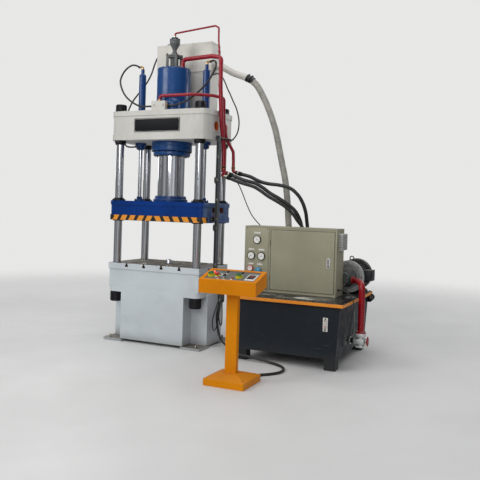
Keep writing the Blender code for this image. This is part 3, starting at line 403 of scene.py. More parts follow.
    # The machined table top, and the walls of its slots.
    z = m.xyz()[2]
    y = m.xyz()[1]
    inside = m.math("MULTIPLY", m.math("GREATER_THAN", z, 0.8835),
                    m.math("LESS_THAN", m.math("ABSOLUTE", m.math("SUBTRACT", y, SY)), 0.3692))
    nrm3 = m.normal()
    up = m.math("GREATER_THAN", nrm3[2], 0.5)
    outer = m.math("LESS_THAN", m.math("ABSOLUTE", m.math("SUBTRACT", m.xyz()[0], SX)), 0.6155)
    bare = m.math("MULTIPLY", m.math("MULTIPLY", inside, outer), m.math("MAXIMUM", up, m.math("GREATER_THAN", m.math("ABSOLUTE", nrm3[0]), 0.5)))
    foot = m.math("MULTIPLY", m.math("LESS_THAN", z, 0.0285), up)
    footc = m.mix(m.ramp(m.noise(16, 6, 0.7), 0.4, 0.7), lin(112, 106, 98), lin(84, 76, 68))
    col = m.mix(foot, paint, footc)
    col = m.mix(bare, col, steel)
    rgh = m.lerp(bare, m.ramp(patch, 0.3, 0.8, 0.34, 0.55), m.ramp(m.noise(4.0, 5, 0.7, distort=1.0), 0.35, 0.65, 0.22, 0.52))
    met = m.math("MULTIPLY", bare, 0.72)
    nrm = m.bump(m.math("ADD", m.math("MULTIPLY", m.noise(5, 3), 0.30), m.math("MULTIPLY", m.noise(400, 2), 0.05)), 0.35, 0.004)
    MATS["bed_paint"] = m.done(col, rgh, nrm, met)

    # Platen: deep glossy blue, dusty on top, paler blue streaks on the end faces.
    m = Nodes("platen_blue")
    base = lin(0, 52, 126)
    col = m.mix(m.ramp(m.noise(1.8, 4, 0.6), 0.3, 0.7), tint(base, 0.82), tint(base, 1.12))
    col = m.mix(m.ramp(m.noise(40, 5, 0.65), 0.45, 0.8, 0.0, 0.25), col, lin(6, 36, 86))
    patch = m.noise(6.5, 6, 0.68, distort=0.6)
    col = m.mix(m.ramp(patch, 0.56, 0.80, 0.0, 0.22), col, lin(10, 26, 54))
    n3 = m.normal()
    side = m.ramp(m.math("ABSOLUTE", n3[0]), 0.55, 0.95, 0.0, 1.0)
    film = m.ramp(m.noise(1.0, 5, 0.7, m.scaled(5, 9, 22)), 0.30, 0.65, 0.15, 0.62)
    col = m.mix(m.math("MULTIPLY", side, film), col, lin(120, 142, 166))
    top = m.ramp(n3[2], 0.5, 0.95, 0.0, 0.55)
    col = m.mix(top, col, lin(96, 92, 84))
    under = m.ramp(n3[2], -0.95, -0.6, 0.85, 0.0)
    col = m.mix(under, col, lin(96, 92, 86))
    e = m.edges(0.0035)
    col = m.mix(m.ramp(m.math("MULTIPLY", e, m.ramp(m.noise(64, 5, 0.7), 0.42, 0.62)), 0.03, 0.16, 0.0, 0.35), col, lin(110, 130, 150))
    rgh = m.math("ADD", m.ramp(m.noise(12, 4), 0.3, 0.7, 0.24, 0.36), m.math("MULTIPLY", side, 0.22), clamp=True)
    nrm = m.bump(m.math("ADD", m.math("MULTIPLY", m.noise(6, 3), 0.22), m.math("MULTIPLY", m.noise(400, 2), 0.05)), 0.35, 0.004)
    MATS["platen_blue"] = m.done(col, rgh, nrm, 0.0, spec=0.20)

    # Oil tank: slate, with thin bright scratches low on the front.
    m = Nodes("tank_slate")
    base = lin(27, 35, 43)
    col = m.mix(m.ramp(m.noise(1.6, 4, 0.6), 0.3, 0.7), tint(base, 0.82), tint(base, 1.12))
    col = m.mix(m.ramp(m.noise(60, 5, 0.7), 0.5, 0.8, 0.0, 0.25), col, lin(84, 90, 94))
    patch = m.noise(5, 6, 0.68, distort=0.6)
    col = m.mix(m.ramp(patch, 0.55, 0.8, 0.0, 0.35), col, lin(30, 34, 38))
    col = m.mix(m.ramp(m.math("ADD", m.xyz()[2], m.math("MULTIPLY", patch, 0.10)), 0.02, 0.30, 0.38, 0.0), col, lin(78, 76, 70))
    sv = m.new("ShaderNodeMapping")
    m.put(sv.inputs["Vector"], m.co)
    sv.inputs["Rotation"].default_value = (0.0, 0.10, 0.0)
    sv.inputs["Scale"].default_value = (1.6, 1.6, 120.0)
    scr = m.ramp(m.noise(1.0, 2, 0.5, sv.outputs[0]), 0.70, 0.73)
    where = m.ramp(m.noise(2.6, 4, 0.6), 0.52, 0.62)
    lowz = m.math("MULTIPLY", m.ramp(m.xyz()[2], 0.16, 0.20), m.ramp(m.xyz()[2], 0.28, 0.34, 1.0, 0.0))
    col = m.mix(m.math("MULTIPLY", m.math("MULTIPLY", scr, where), m.math("MULTIPLY", lowz, 0.75)), col, lin(146, 148, 146))
    e = m.edges(0.0035)
    col = m.mix(m.ramp(m.math("MULTIPLY", e, m.ramp(m.noise(64, 5, 0.7), 0.40, 0.62)), 0.03, 0.16, 0.0, 0.40), col, lin(112, 116, 118))
    rgh = m.ramp(m.noise(9, 5, 0.7), 0.3, 0.75, 0.40, 0.62)
    nrm = m.bump(m.math("ADD", m.math("MULTIPLY", m.noise(4, 3), 0.35), m.math("MULTIPLY", m.noise(380, 2), 0.06)), 0.35, 0.005)
    MATS["tank_slate"] = m.done(col, rgh, nrm, 0.0, spec=0.20)

    # Lid: orange edge, black oily top with one pale dried patch.
    m = Nodes("lid_paint")
    nz = m.normal()[2]
    top = m.math("GREATER_THAN", nz, 0.6)
    orange = m.mix(m.ramp(m.noise(3, 4), 0.3, 0.7), lin(226, 136, 24), lin(238, 150, 40))
    orange = m.mix(m.ramp(m.noise(30, 6, 0.7, distort=0.5), 0.58, 0.74, 0.0, 0.6), orange, lin(112, 62, 26))
    black = m.mix(m.ramp(m.noise(7, 6, 0.7, distort=0.8), 0.35, 0.7), lin(16, 17, 19), lin(44, 43, 42))
    dx = m.math("MULTIPLY", m.math("SUBTRACT", m.xyz()[0], 1.86 + SX), 4.2)
    dy = m.math("MULTIPLY", m.math("SUBTRACT", m.xyz()[1], -0.24 + SY), 9.0)
    dd = m.math("ADD", m.math("MULTIPLY", dx, dx), m.math("MULTIPLY", dy, dy))
    dd = m.math("ADD", dd, m.math("MULTIPLY", m.math("SUBTRACT", m.noise(9, 5, 0.7), 0.5), 1.6))
    white = m.ramp(dd, 0.35, 0.60, 1.0, 0.0)
    black = m.mix(white, black, lin(206, 206, 202))
    col = m.mix(top, orange, black)
    rgh = m.lerp(top, m.ramp(m.noise(9, 4), 0.3, 0.7, 0.36, 0.50), m.ramp(m.noise(5, 6, 0.7, distort=1.0), 0.38, 0.62, 0.10, 0.42))
    nrm = m.bump(m.math("ADD", m.math("MULTIPLY", m.noise(7, 4), 0.4), m.math("MULTIPLY", m.noise(300, 2), 0.05)), 0.35, 0.004)
    MATS["lid_paint"] = m.done(col, rgh, nrm, 0.0)

    # Console: the pedestal's enamel round a sunk grey control panel.
    m = Nodes("console_paint")
    base = lin(216, 130, 0)
    yel = m.mix(m.ramp(m.noise(1.7, 4, 0.6), 0.3, 0.7), tint(base, 0.90), tint(base, 1.06))
    yel = m.mix(m.ramp(m.noise(5.5, 6, 0.68, distort=0.6), 0.54, 0.80, 0.0, 0.14), yel, lin(140, 88, 20))
    chip = m.math("MULTIPLY", m.ramp(m.noise(46, 3, 0.5, distort=0.3), 0.69, 0.72), m.ramp(m.noise(3.1, 3), 0.40, 0.65, 0.0, 0.8))
    yel = m.mix(chip, yel, lin(92, 70, 44))
    e = m.edges(0.0035)
    yel = m.mix(m.ramp(m.math("MULTIPLY", e, m.ramp(m.noise(70, 5, 0.7), 0.40, 0.62)), 0.03, 0.16, 0.0, 0.45), yel, lin(206, 176, 130))
    slope = math.atan2(0.080, 0.255)
    dy = m.math("SUBTRACT", m.xyz()[1], -1.3725 + SY)
    dz = m.math("SUBTRACT", m.xyz()[2], 1.000)
    v = m.math("ADD", m.math("MULTIPLY", dy, math.cos(slope)), m.math("MULTIPLY", dz, math.sin(slope)))
    w = m.math("SUBTRACT", m.math("MULTIPLY", dz, math.cos(slope)), m.math("MULTIPLY", dy, math.sin(slope)))
    in_u = m.math("LESS_THAN", m.math("ABSOLUTE", m.math("SUBTRACT", m.xyz()[0], 1.500 + SX)), 0.2484)
    in_v = m.math("LESS_THAN", m.math("ABSOLUTE", v), 0.1024)
    sunk = m.math("MULTIPLY", m.math("MULTIPLY", in_u, in_v), m.math("MULTIPLY", m.math("LESS_THAN", w, -0.0030), m.math("GREATER_THAN", w, -0.030)))
    brushed = m.noise(1.0, 3, 0.6, m.scaled(3, 180, 180))
    grey = m.mix(m.ramp(brushed, 0.3, 0.7), lin(112, 114, 113), lin(134, 136, 134))
    grey = m.mix(m.ramp(m.noise(30, 6, 0.7, distort=0.5), 0.52, 0.76, 0.0, 0.4), grey, lin(70, 68, 64))
    col = m.mix(sunk, yel, grey)
    rgh = m.lerp(sunk, m.ramp(m.noise(12, 4), 0.3, 0.7, 0.36, 0.46), m.ramp(m.noise(20, 4), 0.3, 0.7, 0.28, 0.45))
    nrm = m.bump(m.math("ADD", m.math("MULTIPLY", m.noise(6, 3), 0.2), m.math("MULTIPLY", m.noise(420, 2), 0.05)), 0.35, 0.004)
    MATS["console_paint"] = m.done(col, rgh, nrm, m.math("MULTIPLY", sunk, 0.35), spec=0.14)

    # Thin spilled oil and dust on the lid, catching the light.
    m = Nodes("puddle")
    col = m.mix(m.ramp(m.noise(14, 5, 0.65, distort=0.5), 0.36, 0.64), lin(74, 72, 71), lin(152, 150, 146))
    MATS["puddle"] = m.done(col, m.ramp(m.noise(9, 4), 0.3, 0.7, 0.14, 0.34), m.bump(m.noise(24, 3), 0.15, 0.001), spec=0.6)

    # Glass and a lit lamp.
    m = Nodes("glass_clear")
    n = m.bump(m.noise(30, 2), 0.02, 0.0005)
    m.bsdf.inputs["Transmission Weight"].default_value = 1.0
    m.bsdf.inputs["IOR"].default_value = 1.35
    MATS["glass_clear"] = m.done(m.mix(m.ramp(m.noise(20, 3), 0.5, 0.8, 0.0, 0.1), (0.95, 0.97, 0.97), (0.8, 0.82, 0.8)),
                                 m.ramp(m.noise(40, 3), 0.3, 0.7, 0.02, 0.08), n)
    m = Nodes("lamp_red")
    col = m.mix(m.ramp(m.noise(80, 3), 0.3, 0.7), lin(255, 60, 40), lin(255, 96, 70))
    m.put(m.bsdf.inputs["Emission Color"], col)
    m.bsdf.inputs["Emission Strength"].default_value = 1.6
    MATS["lamp_red"] = m.done(col, m.ramp(m.noise(50, 2), 0.3, 0.7, 0.15, 0.25), m.bump(m.voronoi(300), 0.1, 0.0005))


make_materials()


# ----------------------------------------------------------------------------
# Shape helpers
# ----------------------------------------------------------------------------
class Piece:
    """One named mesh of several joined shapes; each shape may have its own material."""

    def __init__(self, name, body="frame"):
        self.name, self.body = name, body
        self.bm = bmesh.new()
        self.mats = []

    def index(self, mat):
        if mat not in self.mats:
            self.mats.append(mat)
        return self.mats.index(mat)

    def add(self, bm, mat, matrix=None):
        bmesh.ops.recalc_face_normals(bm, faces=bm.faces)
        if matrix is not None:
            bm.transform(matrix)
            if matrix.determinant() < 0:
                bmesh.ops.reverse_faces(bm, faces=bm.faces)
        i = self.index(mat)
        for f in bm.faces:
            f.material_index = i
        tmp = bpy.data.meshes.new("tmp")
        bm.to_mesh(tmp)
        bm.free()
        self.bm.from_mesh(tmp)
        bpy.data.meshes.remove(tmp)
        return self

    # -- shapes ---------------------------------------------------------
    def box(self, x0, y0, z0, x1, y1, z1, mat, bevel=0.002, seg=2, matrix=None):
        bm = bmesh.new()
        bmesh.ops.create_cube(bm, size=1.0)
        for v in bm.verts:
            v.co = Vector((x0 if v.co.x < 0 else x1, y0 if v.co.y < 0 else y1, z0 if v.co.z < 0 else z1))
        if bevel:
            b = min(bevel, 0.45 * min(x1 - x0, y1 - y0, z1 - z0))
            bmesh.ops.bevel(bm, geom=list(bm.edges), offset=b, segments=seg, profile=0.5, affect="EDGES")
        return self.add(bm, mat, matrix)

    def lathe(self, profile, mat, seg=48, axis="Z", at=(0, 0, 0), matrix=None, fillet=0.0, closed=True):
        if fillet:
            profile = filleted(profile, fillet)
        bm = bmesh.new()
        rings = []
        for r, h in profile:
            if r < 1e-7:
                rings.append([bm.verts.new((0, 0, h))])
            else:
                rings.append([bm.verts.new((r * math.cos(2 * math.pi * i / seg), r * math.sin(2 * math.pi * i / seg), h)) for i in range(seg)])
        pairs = list(zip(rings, rings[1:]))
        if closed:
            pairs.append((rings[-1], rings[0]))
        for a, b in pairs:
            if len(a) == 1 and len(b) == 1:
                continue
            for i in range(seg):
                j = (i + 1) % seg
                loop = ([a[0]] if len(a) == 1 else [a[i], a[j]]) + ([b[0]] if len(b) == 1 else [b[j], b[i]])
                bm.faces.new(loop)
        return self.add(bm, mat, place(axis, at, matrix))

    def prism(self, pts, lo, hi, mat, axis="Z", bevel=0.0, seg=2, matrix=None):
        bm = bmesh.new()

        def vert(p, h):
            return bm.verts.new((p[0], p[1], h) if axis == "Z" else (h, p[0], p[1]) if axis == "X" else (p[0], h, p[1]))

        a = [vert(p, lo) for p in pts]
        b = [vert(p, hi) for p in pts]
        bm.faces.new(a)
        bm.faces.new(b)
        for i in range(len(pts)):
            j = (i + 1) % len(pts)
            bm.faces.new((a[i], a[j], b[j], b[i]))
        if bevel:
            bmesh.ops.recalc_face_normals(bm, faces=bm.faces)
            edges = [e for e in bm.edges if e.calc_face_angle(0) > 0.5]
            bmesh.ops.bevel(bm, geom=edges, offset=bevel, segments=seg, profile=0.5, affect="EDGES")
        return self.add(bm, mat, matrix)

    def tube(self, pts, r, mat, seg=16, caps=True, radii=None):
        """A mesh tube along a path."""
        pts = [Vector(p) for p in pts]
        bm = bmesh.new()
        t = (pts[1] - pts[0]).normalized()
        side = t.cross(Vector((0, 0, 1)))
        if side.length < 0.2:
            side = t.cross(Vector((0, 1, 0)))
        side.normalize()
        rings = []
        for i, p in enumerate(pts):
            a = pts[max(i - 1, 0)]
            b = pts[min(i + 1, len(pts) - 1)]
            nt = (b - a).normalized()
            side = (side - nt * side.dot(nt)).normalized()
            up = nt.cross(side)
            rr = radii[i] if radii else r
            rings.append([bm.verts.new(p + (side * math.cos(2 * math.pi * k / seg) + up * math.sin(2 * math.pi * k / seg)) * rr) for k in range(seg)])
        for a, b in zip(rings, rings[1:]):
            for k in range(seg):
                j = (k + 1) % seg
                bm.faces.new((a[k], a[j], b[j], b[k]))
        if caps:
            bm.faces.new(rings[0])
            bm.faces.new(list(reversed(rings[-1])))
        return self.add(bm, mat)

    def bolt(self, at, axis, r, h, mat="bolt_black", kind="hex", washer=True):
        """A bolt head standing on a face at a point, along axis."""
        q = Vector(axis).normalized().to_track_quat("Z", "Y").to_matrix().to_4x4()
        m = Matrix.Translation(Vector(at)) @ q
        if washer:
            self.lathe([(0, -0.0005), (r * 1.35, -0.0005), (r * 1.35, r * 0.12), (r * 1.28, r * 0.18), (0, r * 0.18)], mat, 20, matrix=m)
        w = r * 0.18 if washer else -0.0005
        if kind == "hex":
            self.lathe([(0, w), (r * 0.98, w), (r, w + h * 0.06), (r, w + h * 0.80), (r * 0.86, w + h), (0, w + h)], mat, 6, matrix=m)
        elif kind == "socket":
            self.lathe([(0, w), (r, w), (r, w + h * 0.86), (r * 0.9, w + h), (r * 0.55, w + h), (r * 0.50, w + h * 0.5), (0, w + h * 0.45)], mat, 20, matrix=m)
        elif kind == "screw":
            self.lathe([(0, w), (r, w), (r, w + h * 0.35), (r * 0.75, w + h * 0.85), (r * 0.3, w + h), (r * 0.22, w + h * 0.6), (0, w + h * 0.6)], mat, 14, matrix=m)
        return self

    def finish(self, *replaced, smooth=38, shift=True):
        mesh = bpy.data.meshes.new(self.name)
        self.bm.to_mesh(mesh)
        self.bm.free()
        if shift:
            mesh.transform(SHIFT)
        for m in self.mats:
            mesh.materials.append(MATS[m])
        mesh.shade_smooth()
        mesh.set_sharp_from_angle(angle=math.radians(smooth))
        obj = bpy.data.objects.new(self.name, mesh)
        bpy.context.scene.collection.objects.link(obj)
        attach(obj, self.body)
        if replaced:
            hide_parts(*replaced)
        return obj


def place(axis, at, matrix=None):
    m = Matrix.Identity(4)
    if axis == "X":
        m = Matrix.Rotation(math.pi / 2, 4, "Y")
    elif axis == "Y":
        m = Matrix.Rotation(-math.pi / 2, 4, "X")
    m = Matrix.Translation(Vector(at)) @ m
    return matrix @ m if matrix is not None else m


def filleted(profile, r, n=3):
    """Rounds each corner of an open profile whose ends lie on the axis."""
    out = []
    pts = [Vector(p) for p in profile]
    for i, p in enumerate(pts):
        if i == 0 or i == len(pts) - 1 or p.x < 1e-7:
            out.append(tuple(p))
            continue
        a, b = pts[i - 1] - p, pts[i + 1] - p
        la, lb = a.length, b.length
        if la < 1e-6 or lb < 1e-6 or a.angle(b) > 2.9:
            out.append(tuple(p))
            continue
        c = min(r, 0.4 * la, 0.4 * lb)
        s, e = p + a.normalized() * c, p + b.normalized() * c
        for k in range(n + 1):
            t = k / n
            q = s * (1 - t) ** 2 + p * 2 * t * (1 - t) + e * t * t
            out.append(tuple(q))
    return out


def rounded(x0, y0, x1, y1, r, n=6):
    out = []
    for cx, cy, a0 in ((x1 - r, y1 - r, 0), (x0 + r, y1 - r, 90), (x0 + r, y0 + r, 180), (x1 - r, y0 + r, 270)):
        for k in range(n + 1):
            a = math.radians(a0 + 90 * k / n)
            out.append((cx + r * math.cos(a), cy + r * math.sin(a)))
    return out


def smooth_path(points, step):
    """Even points along a Catmull-Rom curve."""
    pts = [Vector(p) for p in points]
    ext = [2 * pts[0] - pts[1]] + pts + [2 * pts[-1] - pts[-2]]
    dense = []
    for i in range(1, len(ext) - 2):
        p0, p1, p2, p3 = ext[i - 1:i + 3]
        for k in range(24):
            t = k / 24
            dense.append(0.5 * ((2 * p1) + (p2 - p0) * t + (2 * p0 - 5 * p1 + 4 * p2 - p3) * t * t + (3 * p1 - p0 - 3 * p2 + p3) * t ** 3))
    dense.append(pts[-1])
    total = sum((b - a).length for a, b in zip(dense, dense[1:]))
    count = max(6, int(round(total / step)))
    out, run, want = [dense[0]], 0.0, total / count
    for a, b in zip(dense, dense[1:]):
        seg = (b - a).length
        while seg > 0 and run + seg >= want * len(out) - 1e-9 and len(out) < count:
            out.append(a.lerp(b, (want * len(out) - run) / seg))
        run += seg
    out.append(dense[-1])
    return out


def bent(points, radius, step=8):
    """Straight runs joined by arcs: a bent pipe's centre line."""
    pts = [Vector(p) for p in points]
    out = [pts[0]]
    for a, b, c in zip(pts, pts[1:], pts[2:]):
        u, v = (a - b).normalized(), (c - b).normalized()
        ang = u.angle(v)
        if math.pi - ang < 0.03:
            out.append(b)
            continue
        cut = min(radius / math.tan(ang / 2), 0.45 * (a - b).length, 0.45 * (c - b).length)
        r = cut * math.tan(ang / 2)
        centre = b + (u + v).normalized() * (r / math.sin(ang / 2))
        s, e = b + u * cut - centre, b + v * cut - centre
        turn = s.angle(e)
        axis = s.cross(e).normalized()
        n = max(3, int(math.degrees(turn) / step))
        for k in range(n + 1):
            out.append(centre + Matrix.Rotation(turn * k / n, 3, axis) @ s)
    out.append(pts[-1])
    return out


# ----------------------------------------------------------------------------
# Cords
# ----------------------------------------------------------------------------
HOSES = {
    # name: (radius, material, stiffness, way out at the start, way out at the end, route)
    "hose_left": (0.0110, "hose_black", "stiff", (-1, 0, 0), (-1, 0, 0), [
        (-0.4773, 0.0, 3.332), (-0.530, 0.0, 3.350), (-0.590, -0.010, 3.362), (-0.650, -0.022, 3.334),
        (-0.703, -0.042, 3.270), (-0.728, -0.070, 3.170), (-0.689, -0.100, 3.070), (-0.607, -0.140, 2.968),
        (-0.501, -0.180, 2.888), (-0.397, -0.220, 2.835), (-0.310, -0.248, 2.804), (-0.220, -0.258, 2.794),
        (-0.1173, -0.258, 2.794)]),
    "hose_right": (0.0110, "hose_black", "stiff", (1, 0, 0), (1, 0, 0), [
        (0.4773, 0.0, 3.336), (0.528, -0.002, 3.346), (0.568, -0.012, 3.322), (0.582, -0.030, 3.265),
        (0.565, -0.060, 3.193), (0.535, -0.100, 3.103), (0.479, -0.150, 3.003), (0.408, -0.200, 2.918),
        (0.322, -0.245, 2.842), (0.226, -0.262, 2.806), (0.150, -0.262, 2.794), (0.0663, -0.260, 2.794)]),
    "hose_tank": (0.0100, "hose_black", "stiff", (-1, 0, 0), (-1, 0, 0), [
        (-0.3903, 0.300, 3.512), (-0.436, 0.300, 3.498), (-0.470, 0.296, 3.420), (-0.505, 0.288, 3.311),
        (-0.556, 0.268, 3.198), (-0.640, 0.225, 3.065), (-0.706, 0.165, 2.930), (-0.738, 0.110, 2.770),
        (-0.742, 0.070, 2.600), (-0.724, 0.036, 2.440), (-0.676, 0.014, 2.362), (-0.600, 0.002, 2.342),
        (-0.4973, 0.0, 2.345)]),
    "tank_return_hose": (0.0390, "hose_grey", "stiff", (1, 0, 0), (0, 0, 1), [
        (0.3903, 0.330, 3.350), (0.620, 0.347, 3.268), (0.756, 0.358, 3.216), (0.858, 0.366, 3.168), (0.942, 0.376, 3.090),
        (1.026, 0.389, 2.944), (1.076, 0.399, 2.837), (1.126, 0.410, 2.709), (1.180, 0.425, 2.537), (1.222, 0.440, 2.340),
        (1.262, 0.455, 2.149), (1.300, 0.473, 1.956), (1.326, 0.496, 1.703), (1.343, 0.515, 1.419), (1.362, 0.535, 1.150),
        (1.372, 0.545, 0.900), (1.372, 0.550, 0.6843)]),
    "power_hose_upper": (0.0210, "hose_black", "stiff", (0.895, 0.339, -0.290), (0, 0, 1), [
        (0.8305, 0.0953, 2.0319), (0.984, 0.138, 1.990), (1.084, 0.166, 1.941), (1.183, 0.193, 1.914), (1.325, 0.231, 1.898),
        (1.437, 0.263, 1.867), (1.521, 0.292, 1.797), (1.575, 0.321, 1.705), (1.606, 0.353, 1.591), (1.616, 0.383, 1.467),
        (1.635, 0.400, 1.300), (1.658, 0.405, 1.150), (1.665, 0.405, 0.9903)]),
    "power_hose_lower": (0.0210, "hose_black", "stiff", (0.865, 0.4165, -0.2817), (0, 0, 1), [
        (0.7593, -0.0092, 2.0159), (0.930, 0.045, 1.951), (1.071, 0.087, 1.912), (1.155, 0.115, 1.864), (1.238, 0.145, 1.802),
        (1.349, 0.182, 1.737), (1.445, 0.216, 1.671), (1.515, 0.250, 1.602), (1.555, 0.285, 1.517), (1.572, 0.320, 1.432),
        (1.575, 0.360, 1.300), (1.556, 0.392, 1.150), (1.545, 0.405, 0.9603)]),
    "pedestal_cable": (0.0135, "cable_black", "medium", (0, 1, 0), (1, 0, 0), [
        (1.600, -1.1251, 0.034), (1.614, -1.050, 0.022), (1.650, -0.975, 0.0150), (1.712, -0.905, 0.0145), (1.770, -0.800, 0.0145),
        (1.768, -0.680, 0.0145), (1.690, -0.560, 0.0150), (1.540, -0.485, 0.020), (1.400, -0.477, 0.036),
        (1.266, -0.480, 0.050), (1.150, -0.484, 0.060), (1.050, -0.420, 0.070), (0.975, -0.310, 0.072), (0.897, -0.200, 0.070),
        (0.800, -0.100, 0.085),
        (0.735, -0.045, 0.130), (0.703, -0.040, 0.235), (0.700, -0.057, 0.372), (0.700, -0.010, 0.478),
        (0.699, 0.080, 0.560), (0.690, 0.130, 0.640), (0.663, 0.150, 0.715), (0.6063, 0.150, 0.745)]),
}


def cord_curve(name, pts, r, mat, body="frame", res=4):
    data = bpy.data.curves.new(name, "CURVE")
    data.dimensions = "3D"
    data.bevel_depth = r
    data.bevel_resolution = res
    data.use_fill_caps = True
    line = data.splines.new("POLY")
    line.points.add(len(pts) - 1)
    for p, q in zip(line.points, pts):
        p.co = (q[0] + SX, q[1] + SY, q[2], 1.0)
    line.use_smooth = True
    data.materials.append(MATS[mat])
    obj = bpy.data.objects.new(name, data)
    bpy.context.scene.collection.objects.link(obj)
    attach(obj, body)
    return obj


PATHS = {}


def make_cords():
    for name, (r, mat, stiff, out_a, out_b, route) in HOSES.items():
        a, b = Vector(route[0]), Vector(route[-1])
        stub = max(0.02, 2.2 * r)
        a2, b2 = a + Vector(out_a) * stub, b + Vector(out_b) * stub
        pts = [a] + smooth_path([a2] + route[1:-1] + [b2], max(0.012, 1.3 * r)) + [b]
        PATHS[name] = pts
        obj = cord_curve("line_" + name, pts, r, mat)
        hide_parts(name)


make_cords()


# ----------------------------------------------------------------------------
# Floor, sky and lamps
# ----------------------------------------------------------------------------
def make_stage():
    m = Nodes("floor_pale")
    fade = m.new("ShaderNodeVectorMath", operation="LENGTH")
    m.put(fade.inputs[0], m.co)
    base = m.mix(m.ramp(m.noise(0.6, 5, 0.6), 0.3, 0.7), (0.66, 0.66, 0.655), (0.71, 0.71, 0.705))
    base = m.mix(m.ramp(m.noise(7, 6, 0.7), 0.55, 0.8, 0.0, 0.12), base, (0.48, 0.475, 0.47))
    m.done(base, m.ramp(m.noise(2.0, 4), 0.3, 0.7, 0.50, 0.65), m.bump(m.noise(160, 3), 0.05, 0.002))
    clear = m.new("ShaderNodeBsdfTransparent")
    mix = m.new("ShaderNodeMixShader")
    m.put(mix.inputs[0], m.ramp(fade.outputs["Value"], 3.2, 10.0))
    m.t.links.new(m.bsdf.outputs[0], mix.inputs[1])
    m.t.links.new(clear.outputs[0], mix.inputs[2])
    out = next(n for n in m.t.nodes if n.type == "OUTPUT_MATERIAL")
    m.t.links.new(mix.outputs[0], out.inputs["Surface"])
    bm = bmesh.new()
    bmesh.ops.create_circle(bm, cap_ends=True, segments=64, radius=18.0)
    mesh = bpy.data.meshes.new("floor")
    bm.to_mesh(mesh)
    bm.free()
    mesh.materials.append(m.mat)
    floor = bpy.data.objects.new("floor", mesh)
    floor.location = (0, 0, -0.0004)
    bpy.context.scene.collection.objects.link(floor)

    world = bpy.data.worlds.new("studio")
    bpy.context.scene.world = world
    world.use_nodes = True
    t = world.node_tree
    t.nodes.clear()

    def new(kind, **props):
        n = t.nodes.new(kind)
        for k, v in props.items():
            setattr(n, k, v)
        return n

    co = new("ShaderNodeTexCoord").outputs["Generated"]
    sep = new("ShaderNodeSeparateXYZ")
    t.links.new(co, sep.inputs[0])
    # Azimuth of the looked-at direction, 0 to 1.
    az = new("ShaderNodeMath", operation="ARCTAN2")
    t.links.new(sep.outputs[1], az.inputs[0])
    t.links.new(sep.outputs[0], az.inputs[1])
    turn = new("ShaderNodeMapRange")
    turn.inputs["From Min"].default_value = -math.pi
    turn.inputs["From Max"].default_value = math.pi
    t.links.new(az.outputs[0], turn.inputs["Value"])
    ramp = new("ShaderNodeValToRGB")
    t.links.new(turn.outputs["Result"], ramp.inputs[0])
    # A room of pale windows and dark gaps: gives long streaks in bright metal.
    stops = [(0.00, 0.30), (0.035, 0.62), (0.07, 0.34), (0.12, 0.30), (0.15, 0.75), (0.185, 0.85), (0.21, 0.38), (0.27, 0.36),
             (0.30, 0.95), (0.345, 1.0), (0.37, 0.42), (0.43, 0.34), (0.46, 0.46), (0.50, 0.20), (0.56, 0.18), (0.59, 0.42),
             (0.64, 0.66), (0.67, 0.36), (0.74, 0.34), (0.77, 0.58), (0.82, 0.60), (0.85, 0.38), (0.92, 0.36), (0.95, 0.52), (0.985, 0.32)]
    cr = ramp.color_ramp
    cr.elements[0].position, cr.elements[0].color = stops[0][0], (*[stops[0][1]] * 3, 1)
    cr.elements[1].position, cr.elements[1].color = stops[1][0], (*[stops[1][1]] * 3, 1)
    for p, v in stops[2:]:
        e = cr.elements.new(p)
        e.color = (v, v * 1.0, v * 1.02, 1)
    ceil = new("ShaderNodeMapRange", interpolation_type="SMOOTHSTEP")
    ceil.inputs["From Min"].default_value = 0.25
    ceil.inputs["From Max"].default_value = 0.75
    t.links.new(sep.outputs[2], ceil.inputs["Value"])
    up = new("ShaderNodeMix", data_type="RGBA")
    t.links.new(ceil.outputs["Result"], up.inputs[0])
    t.links.new(ramp.outputs[0], up.inputs[6])
    up.inputs[7].default_value = (0.80, 0.81, 0.83, 1)
    room = new("ShaderNodeBackground")
    room.inputs["Strength"].default_value = 0.50
    t.links.new(up.outputs[2], room.inputs["Color"])
    plain = new("ShaderNodeBackground")
    plain.inputs["Color"].default_value = (0.80, 0.80, 0.795, 1)
    plain.inputs["Strength"].default_value = 1.0
    path = new("ShaderNodeLightPath")
    mix = new("ShaderNodeMixShader")
    t.links.new(path.outputs["Is Camera Ray"], mix.inputs[0])
    t.links.new(room.outputs[0], mix.inputs[1])
    t.links.new(plain.outputs[0], mix.inputs[2])
    out = new("ShaderNodeOutputWorld")
    t.links.new(mix.outputs[0], out.inputs["Surface"])

    def lamp(name, at, aim, size, power, tone=(1, 1, 1)):
        data = bpy.data.lights.new(name, "AREA")
        data.shape = "RECTANGLE"
        data.size, data.size_y = size
        data.energy = power
        data.color = tone
        obj = bpy.data.objects.new(name, data)
        obj.location = at
        obj.rotation_euler = (Vector(aim) - Vector(at)).to_track_quat("-Z", "Y").to_euler()
        bpy.context.scene.collection.objects.link(obj)

    lamp("key", (-4.0, -5.2, 5.6), (0.0, 0.0, 1.4), (3.6, 3.0), 205, (1.0, 0.99, 0.97))
    lamp("front", (1.3, -7.6, 3.6), (0.2, 0.0, 1.4), (3.2, 2.2), 92)
    lamp("top", (0.4, -0.6, 7.4), (0.0, 0.0, 1.0), (4.5, 4.5), 120)
    lamp("fill", (5.6, -4.6, 2.8), (0.2, 0.0, 1.2), (3.0, 3.4), 14, (0.97, 0.98, 1.0))
    lamp("back", (3.0, 5.5, 4.6), (0.0, 0.0, 1.5), (3.5, 2.5), 90)
    lamp("back_left", (-5.5, 3.5, 3.6), (0.0, 0.0, 1.5), (2.5, 3.0), 60)
    bpy.context.scene.view_settings.view_transform = "Standard"


make_stage()


